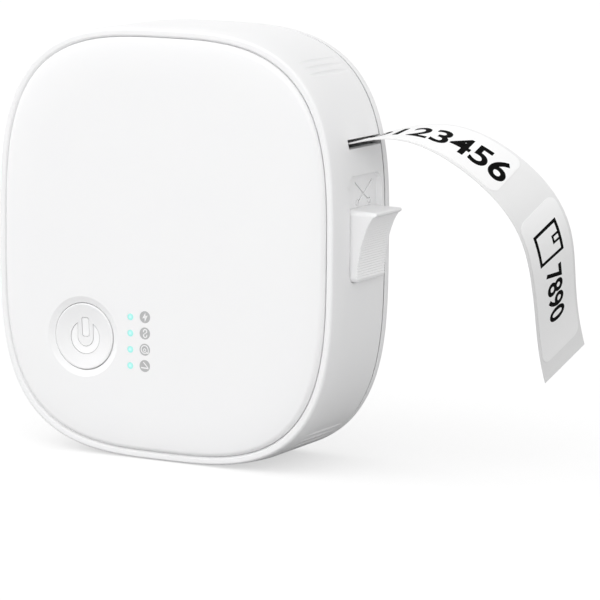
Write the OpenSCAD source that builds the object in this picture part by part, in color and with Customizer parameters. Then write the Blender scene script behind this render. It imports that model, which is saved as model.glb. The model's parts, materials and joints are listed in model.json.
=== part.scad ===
// Handheld thermal label printer for 15 mm tape, standing on its flattened foot.
// +X is the side with the label slot, +Y the back, +Z up; origin at the foot's centre.

/* [Case] */
// Width of the case at its widest
case_w = 86.2; // [85.8:0.2:86.6]
// Height of the case before its foot is flattened
case_h = 97.2; // [96.8:0.2:97.6]
// Depth from the front rim to the back
case_d = 28.4; // [28.4:0.1:28.8]
// Wall thickness
wall = 1.9; // [1.8:0.1:2]
// How much of the outline the foot cuts away
foot_cut = 0.3; // [0.2:0.1:0.5]
// How far the front panel bulges past the rim
crown = 1; // [0.6:0.1:1.4]
// Gap that shows as the seam between the case and its back cover
seam = 0.25; // [0.2:0.05:0.3]
// How squarely the outline turns at its corners, across and up
squareness = [3.15, 3.3]; // [3.1:0.05:3.4]
// Sides of the outline polygon
facets = 80; // [64:8:96]

/* [Front controls] */
// Diameter of the power button
button_d = 15; // [14.5:0.25:15.5]
// Diameter of the sloping ring around it
button_ring_d = 18.2; // [17.5:0.1:18.6]
// How far the power button travels
button_travel = 0.6; // [0.4:0.1:0.6]
// Diameter of a light window
light_d = 1.5; // [1.4:0.1:1.8]
// Diameter of a status icon
icon_d = 2.7; // [2.6:0.1:3]
// Distance from one light to the next
light_pitch = 3.67; // [3.5:0.01:3.8]

/* [Tape] */
// Width of the tape
tape_w = 15; // [14:0.5:15]
// Thickness of the backing paper
liner_t = 0.15; // [0.12:0.01:0.16]
// Thickness of a label on it
label_t = 0.1; // [0.08:0.01:0.1]
// Length of one label
label_l = 40; // [35:1:42]
// Bare backing between two labels
label_gap = 8; // [6:0.5:9]
// Bare margin along each edge of the backing
label_margin = 0.8; // [0.5:0.1:1.2]
// Length of the printed strip from the cut line
strip_l = 93; // [60:1:94]
// Angle at which the tape runs up through the machine
tape_angle = 11.5; // [11:0.5:12]
// Outer radius of the loaded label roll
roll_r = 21.9; // [18:0.1:21.9]

/* [Drive] */
// Radius of the platen roller
platen_r = 4; // [3.8:0.1:4]
// How much each gear tooth is thinned so that the train runs free
backlash = 0.06; // [0.05:0.01:0.08]

/* [Cutter] */
// How far the thumb lever slides up
cutter_travel = 7; // [6:0.1:7]
// Ribs across the lever's thumb slope
lever_ribs = 25; // [15:1:25]

/* [Hidden] */
$fn = 48;
eps = 0.01;

// Depths, from the front to the back
rim_y = -14;
back_y = rim_y + case_d;
part_y = 10.2;
panel_back_y = -12.2;
deck = [-7.2, -5.7];
board = [-10.2, -9.2];
tape_y = [-4.95, -4.95 + tape_w];
tape_mid_y = (tape_y[0] + tape_y[1]) / 2;
centre_z = case_h / 2 - foot_cut;

// Front controls
button_at = [-19.73, centre_z - 21.6];
ring_depth = 0.4;
lights_x = -7.43;
icons_x = -3.66;
lights_z = [for (i = [0 : 3]) centre_z - 16.1 - i * light_pitch];
icon_rise = 0.25;

// Tape path: the cut line, then distances back along the tape
cut_at = [38.9, 72.5];
nip_s = -9;
roll_s = -52;
blade_gap = 0.9;
platen_drop = platen_r + liner_t / 2 + 0.05;
platen_at = tape_point(nip_s, -platen_drop);
roll_at = tape_point(roll_s, -roll_r - liner_t / 2 - 0.1);
head_pivot_s = -20.5;
head_pivot_n = 3.2;
head_pivot_at = tape_point(head_pivot_s, head_pivot_n);

// Gear train, from the platen down to the motor: teeth and module of its two pairs
platen_teeth = 32;
idler_teeth = [50, 16];
pinion_teeth = 12;
slow_module = 0.5;
fast_module = 0.4;
train_angle = 253.5;
mesh_slack = 0.04;
idler_dist = slow_module * (platen_teeth + idler_teeth[1]) / 2 + mesh_slack;
motor_dist = fast_module * (pinion_teeth + idler_teeth[0]) / 2 + mesh_slack;
idler_at = platen_at + idler_dist * [cos(train_angle), sin(train_angle)];
motor_at = idler_at + motor_dist * [cos(train_angle), sin(train_angle)];

// Hinge of the back cover
hinge_at = [-case_w / 2 + 1.7, part_y + 2.1];
hinge_r = 1.35;
lug_z = [8.1, 12];

// Thumb recess and lever, as [low, high] along Y and Z
recess_y = [-6.7, 8.6];
recess_z = [centre_z - 5.7, centre_z + 17.5];
recess_floor_x = case_w / 2 - 1.5;
lever_y = [-6.3, 7.4];
lever_z = [centre_z - 5.5, centre_z + 10.3];
neck_y = [-0.5, 4.5];
neck_z = [45, 49];
blade_x = [38.15, 38.65];

// Printed strip outside the slot: [distance from the cut, bend and twist in degrees per 10 mm]
strip_bends = [[0, -23, -6], [8, 17, -4], [20, 23, -11], [35, 15, -5], [50, 30, -8],
    [65, 5, 2], [80, -6, 0], [110, -11, -1]];
strip_step = 1.5;
corner_r = 2.2;

// ---- Shared geometry ----

// A point at distance s along the tape and n above it, as [x, z]
function tape_point(s, n) = cut_at
    + s * [cos(tape_angle), sin(tape_angle)] + n * [-sin(tape_angle), cos(tape_angle)];

// The case outline pulled in by inset, as [x, z] points around the centre
function outline(inset) = [for (i = [0 : facets - 1])
    let (t = 360 * i / facets, c = cos(t), s = sin(t))
    [(case_w / 2 - inset) * sign(c) * pow(abs(c), 2 / squareness[0]),
     (case_h / 2 - inset) * sign(s) * pow(abs(s), 2 / squareness[1])]];

// One point of the outline at angle t
function outline_at(t, inset) =
    [(case_w / 2 - inset) * sign(cos(t)) * pow(abs(cos(t)), 2 / squareness[0]),
     centre_z + (case_h / 2 - inset) * sign(sin(t)) * pow(abs(sin(t)), 2 / squareness[1])];

// A four-sided face as two triangles
function halves(q) = [[q[0], q[1], q[2]], [q[0], q[2], q[3]]];

// A skin over rings of the outline, each given as [inset, y]
module loft(rings, closed = false) {
    n = facets;
    points = [for (r = rings) for (p = outline(r[0])) [p[0], r[1], p[1] + centre_z]];
    sides = [for (r = [0 : len(rings) - (closed ? 1 : 2)]) for (i = [0 : n - 1])
        let (a = r * n, b = ((r + 1) % len(rings)) * n, j = (i + 1) % n)
        each halves([a + i, a + j, b + j, b + i])];
    caps = closed ? [] : [[for (i = [n - 1 : -1 : 0]) i],
        [for (i = [0 : n - 1]) (len(rings) - 1) * n + i]];
    polyhedron(points, concat(sides, caps), convexity = 8);
}

// Everything below the flat foot
module below_foot() {
    translate([-60, -30, -5]) cube([120, 60, 5]);
}

// A cylinder along Y from y0 to y1 at [x, z]
module rod(at, r, y0, y1) {
    translate([at[0], y0, at[1]]) rotate([-90, 0, 0]) cylinder(r = r, h = y1 - y0);
}

// A flat shape drawn in X and Z, stretched from y0 to y1
module slab(y0, y1) {
    translate([0, y1, 0]) rotate([90, 0, 0]) linear_extrude(y1 - y0) children();
}

// A block given by its [low, high] along each axis
module block(x, y, z) {
    translate([x[0], y[0], z[0]]) cube([x[1] - x[0], y[1] - y[0], z[1] - z[0]]);
}

// A rectangle with round corners, centred
module round_rect(w, h, r) {
    square([w - 2 * r, h], center = true);
    square([w, h - 2 * r], center = true);
    for (x = [-1, 1], z = [-1, 1]) translate([x * (w / 2 - r), z * (h / 2 - r)]) circle(r);
}

// Places children on the tape line: X along the tape, Z above it
module on_tape(s, n = 0) {
    at = tape_point(s, n);
    translate([at[0], 0, at[1]]) rotate([0, -tape_angle, 0]) children();
}

// A screw driven along +Y, its head's top at y = 0
module screw(head_r, head_h, shank_r, shank_l) {
    difference() {
        rotate([-90, 0, 0]) {
            cylinder(r = head_r, h = head_h);
            cylinder(r = shank_r, h = head_h + shank_l);
        }
        for (a = [0, 90]) rotate([0, a, 0])
            block([-head_r * 0.6, head_r * 0.6], [-1, head_h * 0.5], [-0.18, 0.18]);
    }
}

// Involute point at roll angle a on base radius rb
function involute(rb, a) = rb * [cos(a) + a * PI / 180 * sin(a), sin(a) - a * PI / 180 * cos(a)];
function spin(p, a) = [p[0] * cos(a) - p[1] * sin(a), p[0] * sin(a) + p[1] * cos(a)];

// Outline of a spur gear with one tooth centred on +X
function gear_points(teeth, m) =
    let (rp = teeth * m / 2, rb = rp * cos(20), ra = rp + 0.9 * m, rf = rp - 1.2 * m,
        roll_p = sqrt(rp * rp / (rb * rb) - 1) * 180 / PI,
        roll_a = sqrt(ra * ra / (rb * rb) - 1) * 180 / PI,
        at_pitch = roll_p - 20,
        half = 90 / teeth - backlash / 2 / rp * 180 / PI,
        start = rf > rb ? sqrt(rf * rf / (rb * rb) - 1) * 180 / PI : 0,
        flank = [for (i = [0 : 4]) spin(involute(rb, start + (roll_a - start) * i / 4), -half - at_pitch)],
        root = spin([rf, 0], -half - at_pitch + (teeth < 17 ? 2 : -0.5)))
    [for (k = [0 : teeth - 1]) let (turn = 360 * k / teeth)
        each concat([spin(root, turn)], [for (p = flank) spin(p, turn)],
            [for (i = [4 : -1 : 0]) spin([flank[i][0], -flank[i][1]], turn)],
            [spin([root[0], -root[1]], turn)])];

// A spur gear from y0 to y1, turned by phase degrees
module gear(at, teeth, m, y0, y1, phase) {
    translate([at[0], 0, at[1]]) slab(y0, y1) rotate(phase) polygon(gear_points(teeth, m));
}

// A round wire wound along +Z from z = 0, with flat turns at both ends left out
module coil(r, wire, turns, height) {
    steps = 16;
    sides = 6;
    n = floor(turns * steps);
    points = [for (i = [0 : n]) for (k = [0 : sides - 1])
        let (a = 360 * i / steps, q = 360 * k / sides, d = r + wire * cos(q))
        [d * cos(a), d * sin(a), wire + (height - 2 * wire) * i / n + wire * sin(q)]];
    polyhedron(points, concat(
        [for (i = [0 : n - 1]) for (k = [0 : sides - 1]) let (j = (k + 1) % sides)
            each halves([i * sides + k, i * sides + j, (i + 1) * sides + j, (i + 1) * sides + k])],
        [[for (k = [sides - 1 : -1 : 0]) k], [for (k = [0 : sides - 1]) n * sides + k]]),
        convexity = 10);
}

// ---- Printed strip ----

function bend_at(s) = lookup(s, [for (b = strip_bends) [b[0], b[1] / 10]]);
function twist_at(s) = lookup(s, [for (b = strip_bends) [b[0], b[2] / 10]]);

// Frames [point, tangent, upward normal, width direction] every strip_step along the strip
function strip_frames(last, s = 0, p = [cut_at[0], tape_mid_y, cut_at[1]],
        t = [cos(tape_angle), 0, sin(tape_angle)], n = [-sin(tape_angle), 0, cos(tape_angle)],
        w = [0, 1, 0]) =
    s > last + eps ? [] :
    let (a = bend_at(s + strip_step / 2) * strip_step, q = twist_at(s + strip_step / 2) * strip_step,
        t2 = t * cos(a) - n * sin(a), n2 = n * cos(a) + t * sin(a))
    concat([[p, t, n, w]], strip_frames(last, s + strip_step, p + (t + t2) / 2 * strip_step, t2,
        n2 * cos(q) + w * sin(q), w * cos(q) - n2 * sin(q)));

// How far a label's round corner pulls its edge in, at distance d from its end
function corner_pull(d, r) = d >= r ? 0 : r - sqrt(r * r - (r - d) * (r - d));

// Places across the strip: the backing's edge if it has one, a label's edge, and its corners' centres
function strip_places(edge, pull) = let (label = tape_w / 2 - label_margin,
    half = concat([label - corner_r, label - pull], edge > 0 ? [edge] : []))
    concat([for (k = [len(half) - 1 : -1 : 0]) -half[k]], half);

// A thin layer that follows the strip, from its height low to high. Each frame has its own list
// of places across; the broad faces are all halved along the same diagonal, so layers fit.
module strip_layer(frames, across, low, high) {
    last = len(frames) - 1;
    n = len(across[0]);
    points = [for (i = [0 : last]) let (f = frames[i]) for (h = [low, high])
        for (w = across[i]) f[0] + f[3] * w + f[2] * h];
    function at(i, k, top) = (2 * i + top) * n + k;
    polyhedron(points, concat(
        [for (i = [0 : last - 1]) for (k = [0 : n - 2]) for (top = [0, 1])
            let (q = [at(i, k, top), at(i, k + 1, top), at(i + 1, k + 1, top), at(i + 1, k, top)])
            each [for (face = halves(q)) top > 0 ? face : [face[2], face[1], face[0]]]],
        [for (i = [0 : last - 1]) for (k = [0, n - 1])
            let (q = [at(i, k, 0), at(i + 1, k, 0), at(i + 1, k, 1), at(i, k, 1)])
            each [for (face = halves(q)) k > 0 ? face : [face[2], face[1], face[0]]]],
        [for (i = [0, last]) for (k = [0 : n - 2])
            let (q = [at(i, k, 0), at(i, k + 1, 0), at(i, k + 1, 1), at(i, k, 1)])
            each [for (face = halves(q)) i > 0 ? [face[2], face[1], face[0]] : face]]), convexity = 6);
}

// ---- Case ----

module case_bosses(r, y0, y1) {
    for (x = [-1, 1], z = [-1, 1]) rod([x * 31, centre_z + z * 35.6], r, y0, y1);
}

// Shallow grip grooves that run across the band at its right-hand corners
module grip_grooves() {
    for (t = [51.9, 48.6, 45.3, -45.8, -49.6, -53.8])
        rod(outline_at(t, -0.4), 0.6, -9.8, part_y - 2.4);
}

// Scissors mark engraved in the thumb recess
module scissors_mark() {
    translate([recess_floor_x - 0.2, 2.2, lever_z[1] + 2.9]) rotate([90, 0, 90])
        linear_extrude(1) for (side = [-1, 1]) rotate(side * 57) {
            translate([-0.13, -2.85]) square([0.26, 7.85]);
            translate([0, -3.4]) difference() {
                circle(0.65);
                circle(0.4);
            }
        }
}

module mid_shell() {
    color("#e6e6e6") difference() {
        union() {
            loft([[1.87, rim_y], [1, rim_y], [0.7, rim_y + 0.12], [0.5, rim_y + 0.5],
                [0.33, rim_y + 1.5], [0.14, rim_y + 3.3], [0, rim_y + 5.6], [0, part_y - seam / 2],
                [wall, part_y - seam / 2], [wall, rim_y + 4], [3.4, rim_y + 3],
                [3.4, panel_back_y], [1.87, panel_back_y]], closed = true);
            case_bosses(2.8, panel_back_y, deck[0]);
            block([recess_floor_x - 1.3, case_w / 2 - 0.6], [recess_y[0] - 1, recess_y[1] + 1],
                [recess_z[0] - 1, recess_z[1] + 1]);
            for (side = [-1, 1]) hinge_lug(side);
        }
        below_foot();
        grip_grooves();
        // Label slot, open towards the back cover
        block([36, 46], [tape_y[0] - 0.15, part_y], [centre_z + 23.4, centre_z + 25.5]);
        // Thumb recess and the way through its floor
        translate([recess_floor_x, (recess_y[0] + recess_y[1]) / 2, (recess_z[0] + recess_z[1]) / 2])
            rotate([90, 0, 90]) linear_extrude(5)
            round_rect(recess_y[1] - recess_y[0], recess_z[1] - recess_z[0], 2);
        block([38, 44], [neck_y[0] - 0.3, neck_y[1] + 0.3],
            [neck_z[0] - 0.3, neck_z[1] + cutter_travel + 0.3]);
        scissors_mark();
        // Charging port
        translate([-45, usb_y, usb_z]) rotate([90, 0, 90]) linear_extrude(7.5)
            round_rect(3.8, 9.6, 1.6);
        case_bosses(0.8, rim_y + 4, deck[0] + 1);
        translate([hinge_at[0], hinge_at[1], centre_z - 15]) cylinder(r = 0.65, h = 30);
    }
}

// One fixed knuckle of the hinge
module hinge_lug(side) {
    z0 = centre_z + (side < 0 ? -lug_z[1] : lug_z[0]);
    length = lug_z[1] - lug_z[0];
    translate([hinge_at[0], hinge_at[1], z0]) cylinder(r = hinge_r, h = length);
    block([hinge_at[0] - hinge_r, hinge_at[0] + 0.9], [part_y - 2, hinge_at[1]], [z0, z0 + length]);
}

module front_panel() {
    edge = 2.07;
    color("#f6f6f6") difference() {
        loft([[20, rim_y - crown], [12, rim_y - crown * 0.92], [7, rim_y - crown * 0.7],
            [4, rim_y - crown * 0.35], [2.6, rim_y - 0.05], [edge, rim_y + 0.4],
            [edge, panel_back_y], [4.2, panel_back_y], [6, panel_back_y - 0.6],
            [12, panel_back_y - 0.9]]);
        // Button opening with its sloping ring
        rod(button_at, button_d / 2 + 0.15, rim_y - 3, panel_back_y + 1);
        translate([button_at[0], rim_y - crown, button_at[1]]) rotate([-90, 0, 0])
            cylinder(r1 = button_ring_d / 2, r2 = button_d / 2 + 0.15, h = ring_depth);
        for (z = lights_z) {
            rod([lights_x, z], light_d / 2 + 0.02, rim_y - 3, panel_back_y + 1);
            rod([icons_x, z + icon_rise], icon_d / 2, rim_y - 3, rim_y - crown + 0.15);
        }
    }
}

module back_cover() {
    front_y = part_y + seam / 2;
    color("#ececec") {
        difference() {
            union() {
                difference() {
                    loft([[2.9, back_y - 1.7], [wall, back_y - 2.2], [wall, front_y], [0, front_y],
                        [0, back_y - 2.8], [0.2, back_y - 1.9], [0.8, back_y - 0.9],
                        [1.7, back_y - 0.3], [2.8, back_y]]);
                    below_foot();
                    // Room beside the two fixed knuckles
                    for (side = [-1, 1]) translate([0, 0, centre_z + side * (lug_z[0] + lug_z[1]) / 2])
                        block([-60, hinge_at[0] + 2], [0, 30],
                            [-0.2 - (lug_z[1] - lug_z[0]) / 2, 0.2 + (lug_z[1] - lug_z[0]) / 2]);
                }
                // Moving knuckle
                translate([hinge_at[0], hinge_at[1], centre_z - lug_z[0] + 0.2])
                    cylinder(r = hinge_r, h = 2 * lug_z[0] - 0.4);
                block([hinge_at[0], hinge_at[0] + 1.4], [front_y + 0.6, back_y - 1.2],
                    [centre_z - lug_z[0] + 0.2, centre_z + lug_z[0] - 0.2]);
            }
            // Edge beyond the pin, rounded about it so that the cover can swing
            difference() {
                block([-60, hinge_at[0]], [0, hinge_at[1]], [centre_z - 32, centre_z + 32]);
                translate([hinge_at[0], hinge_at[1], centre_z - 33]) cylinder(r = 2, h = 66);
            }
            translate([hinge_at[0], hinge_at[1], centre_z - 15]) cylinder(r = 0.7, h = 30);
        }
        cover_tongues();
    }
}

// Snap tongues that reach into the case
module cover_tongues() {
    reach = [part_y - 2.6, back_y - 1.5];
    block([33.8, 35.2], reach, [centre_z + 30, centre_z + 35]);
    block([33.6, 34.8], reach, [centre_z - 33, centre_z - 27]);
    for (side = [-1, 1]) block([-5, 5], reach,
        [centre_z + side * 45 - 0.6, centre_z + side * 45 + 0.6]);
}

module hinge_pin() {
    color("silver") translate([hinge_at[0], hinge_at[1], centre_z - lug_z[1]])
        cylinder(r = 0.65, h = 2 * lug_z[1]);
}

module cover_pad() {
    color("#b8b8b8") difference() {
        rod(roll_at, 9, part_y + 0.3, back_y - 1.7);
        rod(roll_at, 5, part_y, back_y);
    }
}

// ---- Front controls ----

// Power symbol: an open ring with a bar
module power_symbol() {
    translate([0, -0.3]) difference() {
        circle(3.8);
        circle(1.95);
        translate([0, 3]) square([3.9, 6], center = true);
    }
    translate([0, 2.05]) square([1.95, 4.45], center = true);
}

module power_button() {
    r = button_d / 2;
    face_y = rim_y - crown + 0.3;
    color("#f4f4f4") translate([button_at[0], face_y, button_at[1]]) rotate([-90, 0, 0]) difference() {
        rotate_extrude() polygon([[0, 0.8], [r * 0.45, 0.62], [r * 0.75, 0.28], [r - 0.7, 0],
            [r - 0.2, 0.1], [r, 0.5], [r, 1.75], [r + 0.9, 1.75], [r + 0.9, 2.3],
            [4.8, 2.3], [4.8, 1.75], [1.2, 1.75], [1.2, 2.45], [0, 2.45]]);
        translate([0, 0, -1]) linear_extrude(2.05) mirror([0, 1]) power_symbol();
    }
}

module switch_plunger() {
    color("#d8c9a0") rod(button_at, 1.5, board[0] - 1.9, board[0] - 0.55 - button_travel);
}

module power_switch() {
    color("#8f9498") difference() {
        translate([button_at[0], 0, button_at[1]]) slab(board[0] - 1.75, board[0]) round_rect(6, 6, 0.5);
        rod(button_at, 1.6, board[0] - 2, board[0] - 0.4);
    }
}

module light_guide() {
    color("#bfeef5") union() {
        for (z = lights_z) rod([lights_x, z], light_d / 2, rim_y - crown + 0.05, board[0] - 1.9);
        block([lights_x - 1.3, lights_x + 1.3], [board[0] - 2.5, board[0] - 0.9],
            [lights_z[3] - 2, lights_z[0] + 2]);
    }
}

module status_icons() {
    color("#c4c4c6") for (z = lights_z)
        rod([icons_x, z + icon_rise], icon_d / 2, rim_y - crown, rim_y - crown + 0.15);
}

module status_leds() {
    color("#f2e9c0") for (z = lights_z)
        block([lights_x - 0.8, lights_x + 0.8], [board[0] - 0.6, board[0]], [z - 0.4, z + 0.4]);
}

// ---- Electronics ----

usb_y = (board[0] + board[1]) / 2;
usb_z = centre_z - 17.3;
board_screw_at = [[-30, 35], [32, 35], [8, 8]];

module main_board() {
    color("#1f5e3a") difference() {
        intersection() {
            translate([0, 0, centre_z]) slab(board[0], board[1]) polygon(outline(5.5));
            block([-60, 60], [-20, 0], [0, 40]);
        }
        case_bosses(3.1, -20, 0);
        block([-60, -34.5], [-20, 0], [usb_z - 4.6, usb_z + 4.6]);
        for (at = board_screw_at) rod(at, 0.9, -20, 0);
    }
}

module board_chips() {
    color("#2b2b2e") {
        for (c = [[8, 28, 7, 7, 0.9], [22, 24, 5, 5, 0.8], [20, 10, 4, 3, 0.8], [-2, 12, 3, 3, 0.7]])
            block([c[0], c[0] + c[2]], [board[0] - c[4], board[0]], [c[1], c[1] + c[3]]);
        for (i = [0 : 5]) block([4 + i * 2.2, 5 + i * 2.2], [board[0] - 0.5, board[0]], [19, 19.6]);
    }
    color("#e8e2cf") {
        block([2, 7], [board[0] - 2, board[0]], [36.4, 39.6]);
        block([11.3, 16.7], [board[0] - 1.2, board[0]], [36.5, 39.6]);
        block([22, 27], [board[1], board[1] + 1.4], [30, 33]);
    }
}

module usb_socket() {
    color("silver") translate([-42, usb_y, usb_z]) rotate([90, 0, 90]) difference() {
        linear_extrude(7.5) round_rect(3.2, 9, 1.5);
        translate([0, 0, -1]) linear_extrude(7) round_rect(2.6, 8.4, 1.25);
    }
    color("#26262a") translate([-41.2, usb_y, usb_z]) rotate([90, 0, 90])
        linear_extrude(6.4) square([0.7, 6.6], center = true);
}

module battery() {
    color("#b9bcc2") translate([-12, 0, 62.5]) slab(-12, -7.8) round_rect(42, 35, 1.5);
    color("#c99a3a") block([-33, 9], [-11.5, -8.3], [79.9, 81]);
}

module battery_lead() {
    color("#b02020") block([2.2, 6.8], [board[0] - 1.9, board[0] - 0.3], [39.6, 41.5]);
    for (x = [3.4, 5.6]) color(x < 4 ? "#b02020" : "#202020")
        translate([x, board[0] - 1.1, 41.5]) cylinder(r = 0.5, h = 3.5);
}

// ---- Chassis ----

module chassis() {
    color("#d9dadb") difference() {
        union() {
            translate([0, 0, centre_z]) slab(deck[0], deck[1]) polygon(outline(2.3));
            for (at = board_screw_at) rod(at, 2, board[1], deck[0] + eps);
            // Spindle for the roll, tape guide post, sensor post and switch post
            rod(roll_at, 4, deck[1] - eps, 8.5);
            rod(tape_point(-36, -1.7), 1.5, deck[1] - eps, tape_y[1] + 0.3);
            on_tape(-22, -3.6) block([-1, 1], [deck[1] - eps, tape_y[1] + 0.3], [-0.6, 0.6]);
            block([31.6, 35], [deck[1] - eps, 2.5], [15, 22]);
            // Lug above the cutter spring, and the carriage's guide rails
            block([33.5, 36.75], [deck[1] - eps, 3.6], [61, 62.2]);
            block([36, 36.75], [deck[1] - eps, 5], [43, 47.4]);
            block([36, 36.75], [deck[1] - eps, 5], [57.6, 61.5]);
        }
        below_foot();
        // Room for the wall behind the thumb recess
        block([40.1, 45], [-20, 0], [recess_z[0] - 1.2, recess_z[1] + 1.2]);
        rod(platen_at, 2.6, -20, 0);
        rod(idler_at, 1, -20, 0);
        rod(motor_at, 3, -20, 0);
        rod(head_pivot_at, 0.9, -20, 0);
        case_bosses(1.1, -20, 0);
        for (at = board_screw_at) rod(at, 0.7, -20, deck[1] - 0.4);
        for (side = [-1, 1]) rod(motor_screw(side), 0.6, -20, 0);
        for (at = bracket_at) rod(at, 0.8, -20, 0);
        // Windows for the two ribbon cables
        block([11, 17], [-20, 0], [79, 82]);
        block([22, 27], [-20, 0], [31.5, 34]);
    }
}

module case_screws() {
    color("#777a7d") for (x = [-1, 1], z = [-1, 1])
        translate([x * 31, deck[1] + 1.2, centre_z + z * 35.6]) rotate([0, 0, 180])
            screw(1.9, 1.2, 0.8, 4.2);
}

module board_screws() {
    color("#777a7d") for (at = board_screw_at)
        translate([at[0], board[0] - 0.8, at[1]]) screw(1.5, 0.8, 0.7, 4);
}

// ---- Drive ----

function motor_screw(side) = motor_at + side * 9.3 * [cos(-30), sin(-30)];
bracket_at = [[20.5, 73], [32.8, 78.4]];

module stepper_motor() {
    color("silver") difference() {
        union() {
            rod(motor_at, 7.5, deck[1], deck[1] + 10);
            rod(motor_at, 2.9, deck[0] + 0.3, deck[1] + eps);
            translate([motor_at[0], 0, motor_at[1]]) rotate([0, 30, 0])
                slab(deck[1], deck[1] + 0.8) round_rect(23, 5, 2.4);
        }
        rod(motor_at, 0.8, -20, deck[1] + 8);
        for (side = [-1, 1]) rod(motor_screw(side), 0.7, -20, 0);
    }
}

module motor_screws() {
    color("#777a7d") for (side = [-1, 1]) let (at = motor_screw(side))
        translate([at[0], deck[1] + 1.5, at[1]]) rotate([0, 0, 180]) screw(1.1, 0.7, 0.6, 2);
}

module motor_shaft() {
    color("silver") rod(motor_at, 0.75, -9.3, deck[1] + 7.5);
}

module motor_pinion() {
    color("#c9a54a") difference() {
        gear(motor_at, pinion_teeth, fast_module, -9.1, -7.6, pinion_phase);
        rod(motor_at, 0.75, -20, 0);
    }
}

module motor_lead() {
    color("#c8682a") {
        block([23, 26], [deck[1] + 3, deck[1] + 3.15], [32, 35.6]);
        block([23, 26], [board[1] + 1.4, deck[1] + 3.15], [32, 32.15]);
    }
}

// Phases that put each pair of gears in mesh along the line joining them
platen_phase = train_angle;
idler_small_phase = train_angle + 180 + 180 / idler_teeth[1];
idler_large_phase = train_angle;
pinion_phase = train_angle + 180 + 180 / pinion_teeth;

module idler_gear() {
    color("#efefe6") difference() {
        union() {
            gear(idler_at, idler_teeth[0], fast_module, -9, -7.8, idler_large_phase);
            gear(idler_at, idler_teeth[1], slow_module, -10.8, -9 + eps, idler_small_phase);
        }
        rod(idler_at, 1.04, -20, 0);
    }
}

module idler_pin() {
    color("silver") rod(idler_at, 1, -12, deck[1]);
}

module gear_bracket() {
    color("#b7babd") difference() {
        union() {
            slab(-11.9, -11.4) hull() for (at = concat([idler_at, platen_at], bracket_at))
                translate(at) circle(at == platen_at ? 4 : 2.2);
            for (at = bracket_at) rod(at, 1.6, -11.4 - eps, deck[0]);
        }
        rod(platen_at, 2.3, -20, 0);
        rod(idler_at, 1, -20, 0);
        for (at = bracket_at) {
            rod(at, 0.8, -20, 0);
            rod(at, 1.5, -20, -11.6);
        }
    }
}

module bracket_screws() {
    color("#777a7d") for (at = bracket_at)
        translate([at[0], -12.1, at[1]]) screw(1.5, 0.5, 0.8, 5.6);
}

module platen_gear() {
    color("#efefe6") difference() {
        gear(platen_at, platen_teeth, slow_module, -10.8, -9.2, platen_phase);
        rod(platen_at, 1.5, -20, 0);
    }
}

module platen_shaft() {
    color("silver") rod(platen_at, 1.5, -12, tape_y[1] + 0.3);
}

module platen_rubber() {
    color("#333436") difference() {
        rod(platen_at, platen_r, tape_y[0], tape_y[1]);
        rod(platen_at, 1.5, -20, 20);
    }
}

module platen_bushes() {
    color("#ece7d8") difference() {
        union() {
            rod(platen_at, 2.6, deck[0] - 0.2, deck[1]);
            rod(platen_at, 3.3, deck[1], deck[1] + 0.4);
            rod(platen_at, 2.3, -11.9, -11.4);
            rod(platen_at, 2.9, -11.4, -11);
        }
        rod(platen_at, 1.55, -20, 0);
    }
}

// ---- Print head ----

head_y = [deck[1] + 0.3, tape_y[1] + 0.35];
head_gap = liner_t / 2 + label_t + 0.05;

module print_head() {
    color("#e9e4d6") on_tape(nip_s, head_gap) block([-3, 2.6], head_y, [0, 0.8]);
}

module head_mount() {
    color("#aeb2b6") difference() {
        union() {
            on_tape(nip_s, head_gap + 0.8) {
                block([-8, 2.8], head_y, [0, 1.4]);
                for (x = [-6, -3.5, -1, 1.5])
                    block([x, x + 0.8], [head_y[0] + 2.4, head_y[1] - 2.4], [1.3, 3]);
                for (y = [head_y[0], head_y[1] - 2]) block([-10.2, -2], [y, y + 2], [0.6, 3.2]);
            }
            for (y = [head_y[0], head_y[1] - 2]) rod(head_pivot_at, 2, y + 0.1, y + 1.9);
        }
        rod(head_pivot_at, 0.95, -20, 20);
    }
}

module head_pivot_pin() {
    color("silver") rod(head_pivot_at, 0.9, deck[0], head_y[1] + 0.3);
}

module head_spring() {
    color("#8d9196") translate([head_pivot_at[0], head_y[0] + 2.1, head_pivot_at[1]])
        rotate([-90, 0, 0]) coil(1.5, 0.25, 7, 6);
}

module head_cable() {
    color("#c8682a") {
        block([11.5, 16.5], [board[0] - 1, board[0] - 0.85], [39.6, 42]);
        block([11.5, 16.5], [board[0] - 1, deck[0] - 0.6], [42, 42.15]);
        block([11.5, 16.5], [deck[0] - 0.75, deck[0] - 0.6], [42, 80.15]);
        block([11.5, 16.5], [deck[0] - 0.75, 2], [80, 80.15]);
        block([16.5, 24], [-3, 2], [80, 80.15]);
        block([23.85, 24], [-3, 2], [74.6, 80]);
    }
}

// ---- Cutter ----

// A point at distance s up the thumb slope, as [x, z]: a long arc, then a tighter one to the tip
function thumb_slope(s) =
    let (r = [29, 9], bend = 23, l = r[0] * bend * PI / 180,
        a = s < l ? s / r[0] * 180 / PI : bend + (s - l) / r[1] * 180 / PI,
        b = min(a, bend))
    [case_w / 2 + 1.62 + r[0] * (1 - cos(b)) + r[1] * (cos(b) - cos(a)),
        lever_z[0] + 0.8 + r[0] * sin(b) + r[1] * (sin(a) - sin(b))];

// Side profile of the thumb lever, as [x, z]
function lever_profile() =
    let (base = recess_floor_x + 0.15, wall_x = case_w / 2, l = 14.5, rib_depth = 0.2)
    concat([[base, lever_z[1]], [base, lever_z[0]], [wall_x + 1.1, lever_z[0]],
        [wall_x + 1.5, lever_z[0] + 0.25]],
        [for (i = [0 : 2 * lever_ribs]) thumb_slope(i * l / 2 / lever_ribs) - [i % 2 * rib_depth, 0]],
        [[wall_x + 6.05, lever_z[1] - 0.8], [wall_x + 6.1, lever_z[1] - 0.5],
         [wall_x + 5.9, lever_z[1] - 0.25], [wall_x + 5.4, lever_z[1] - 0.1]]);

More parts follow.
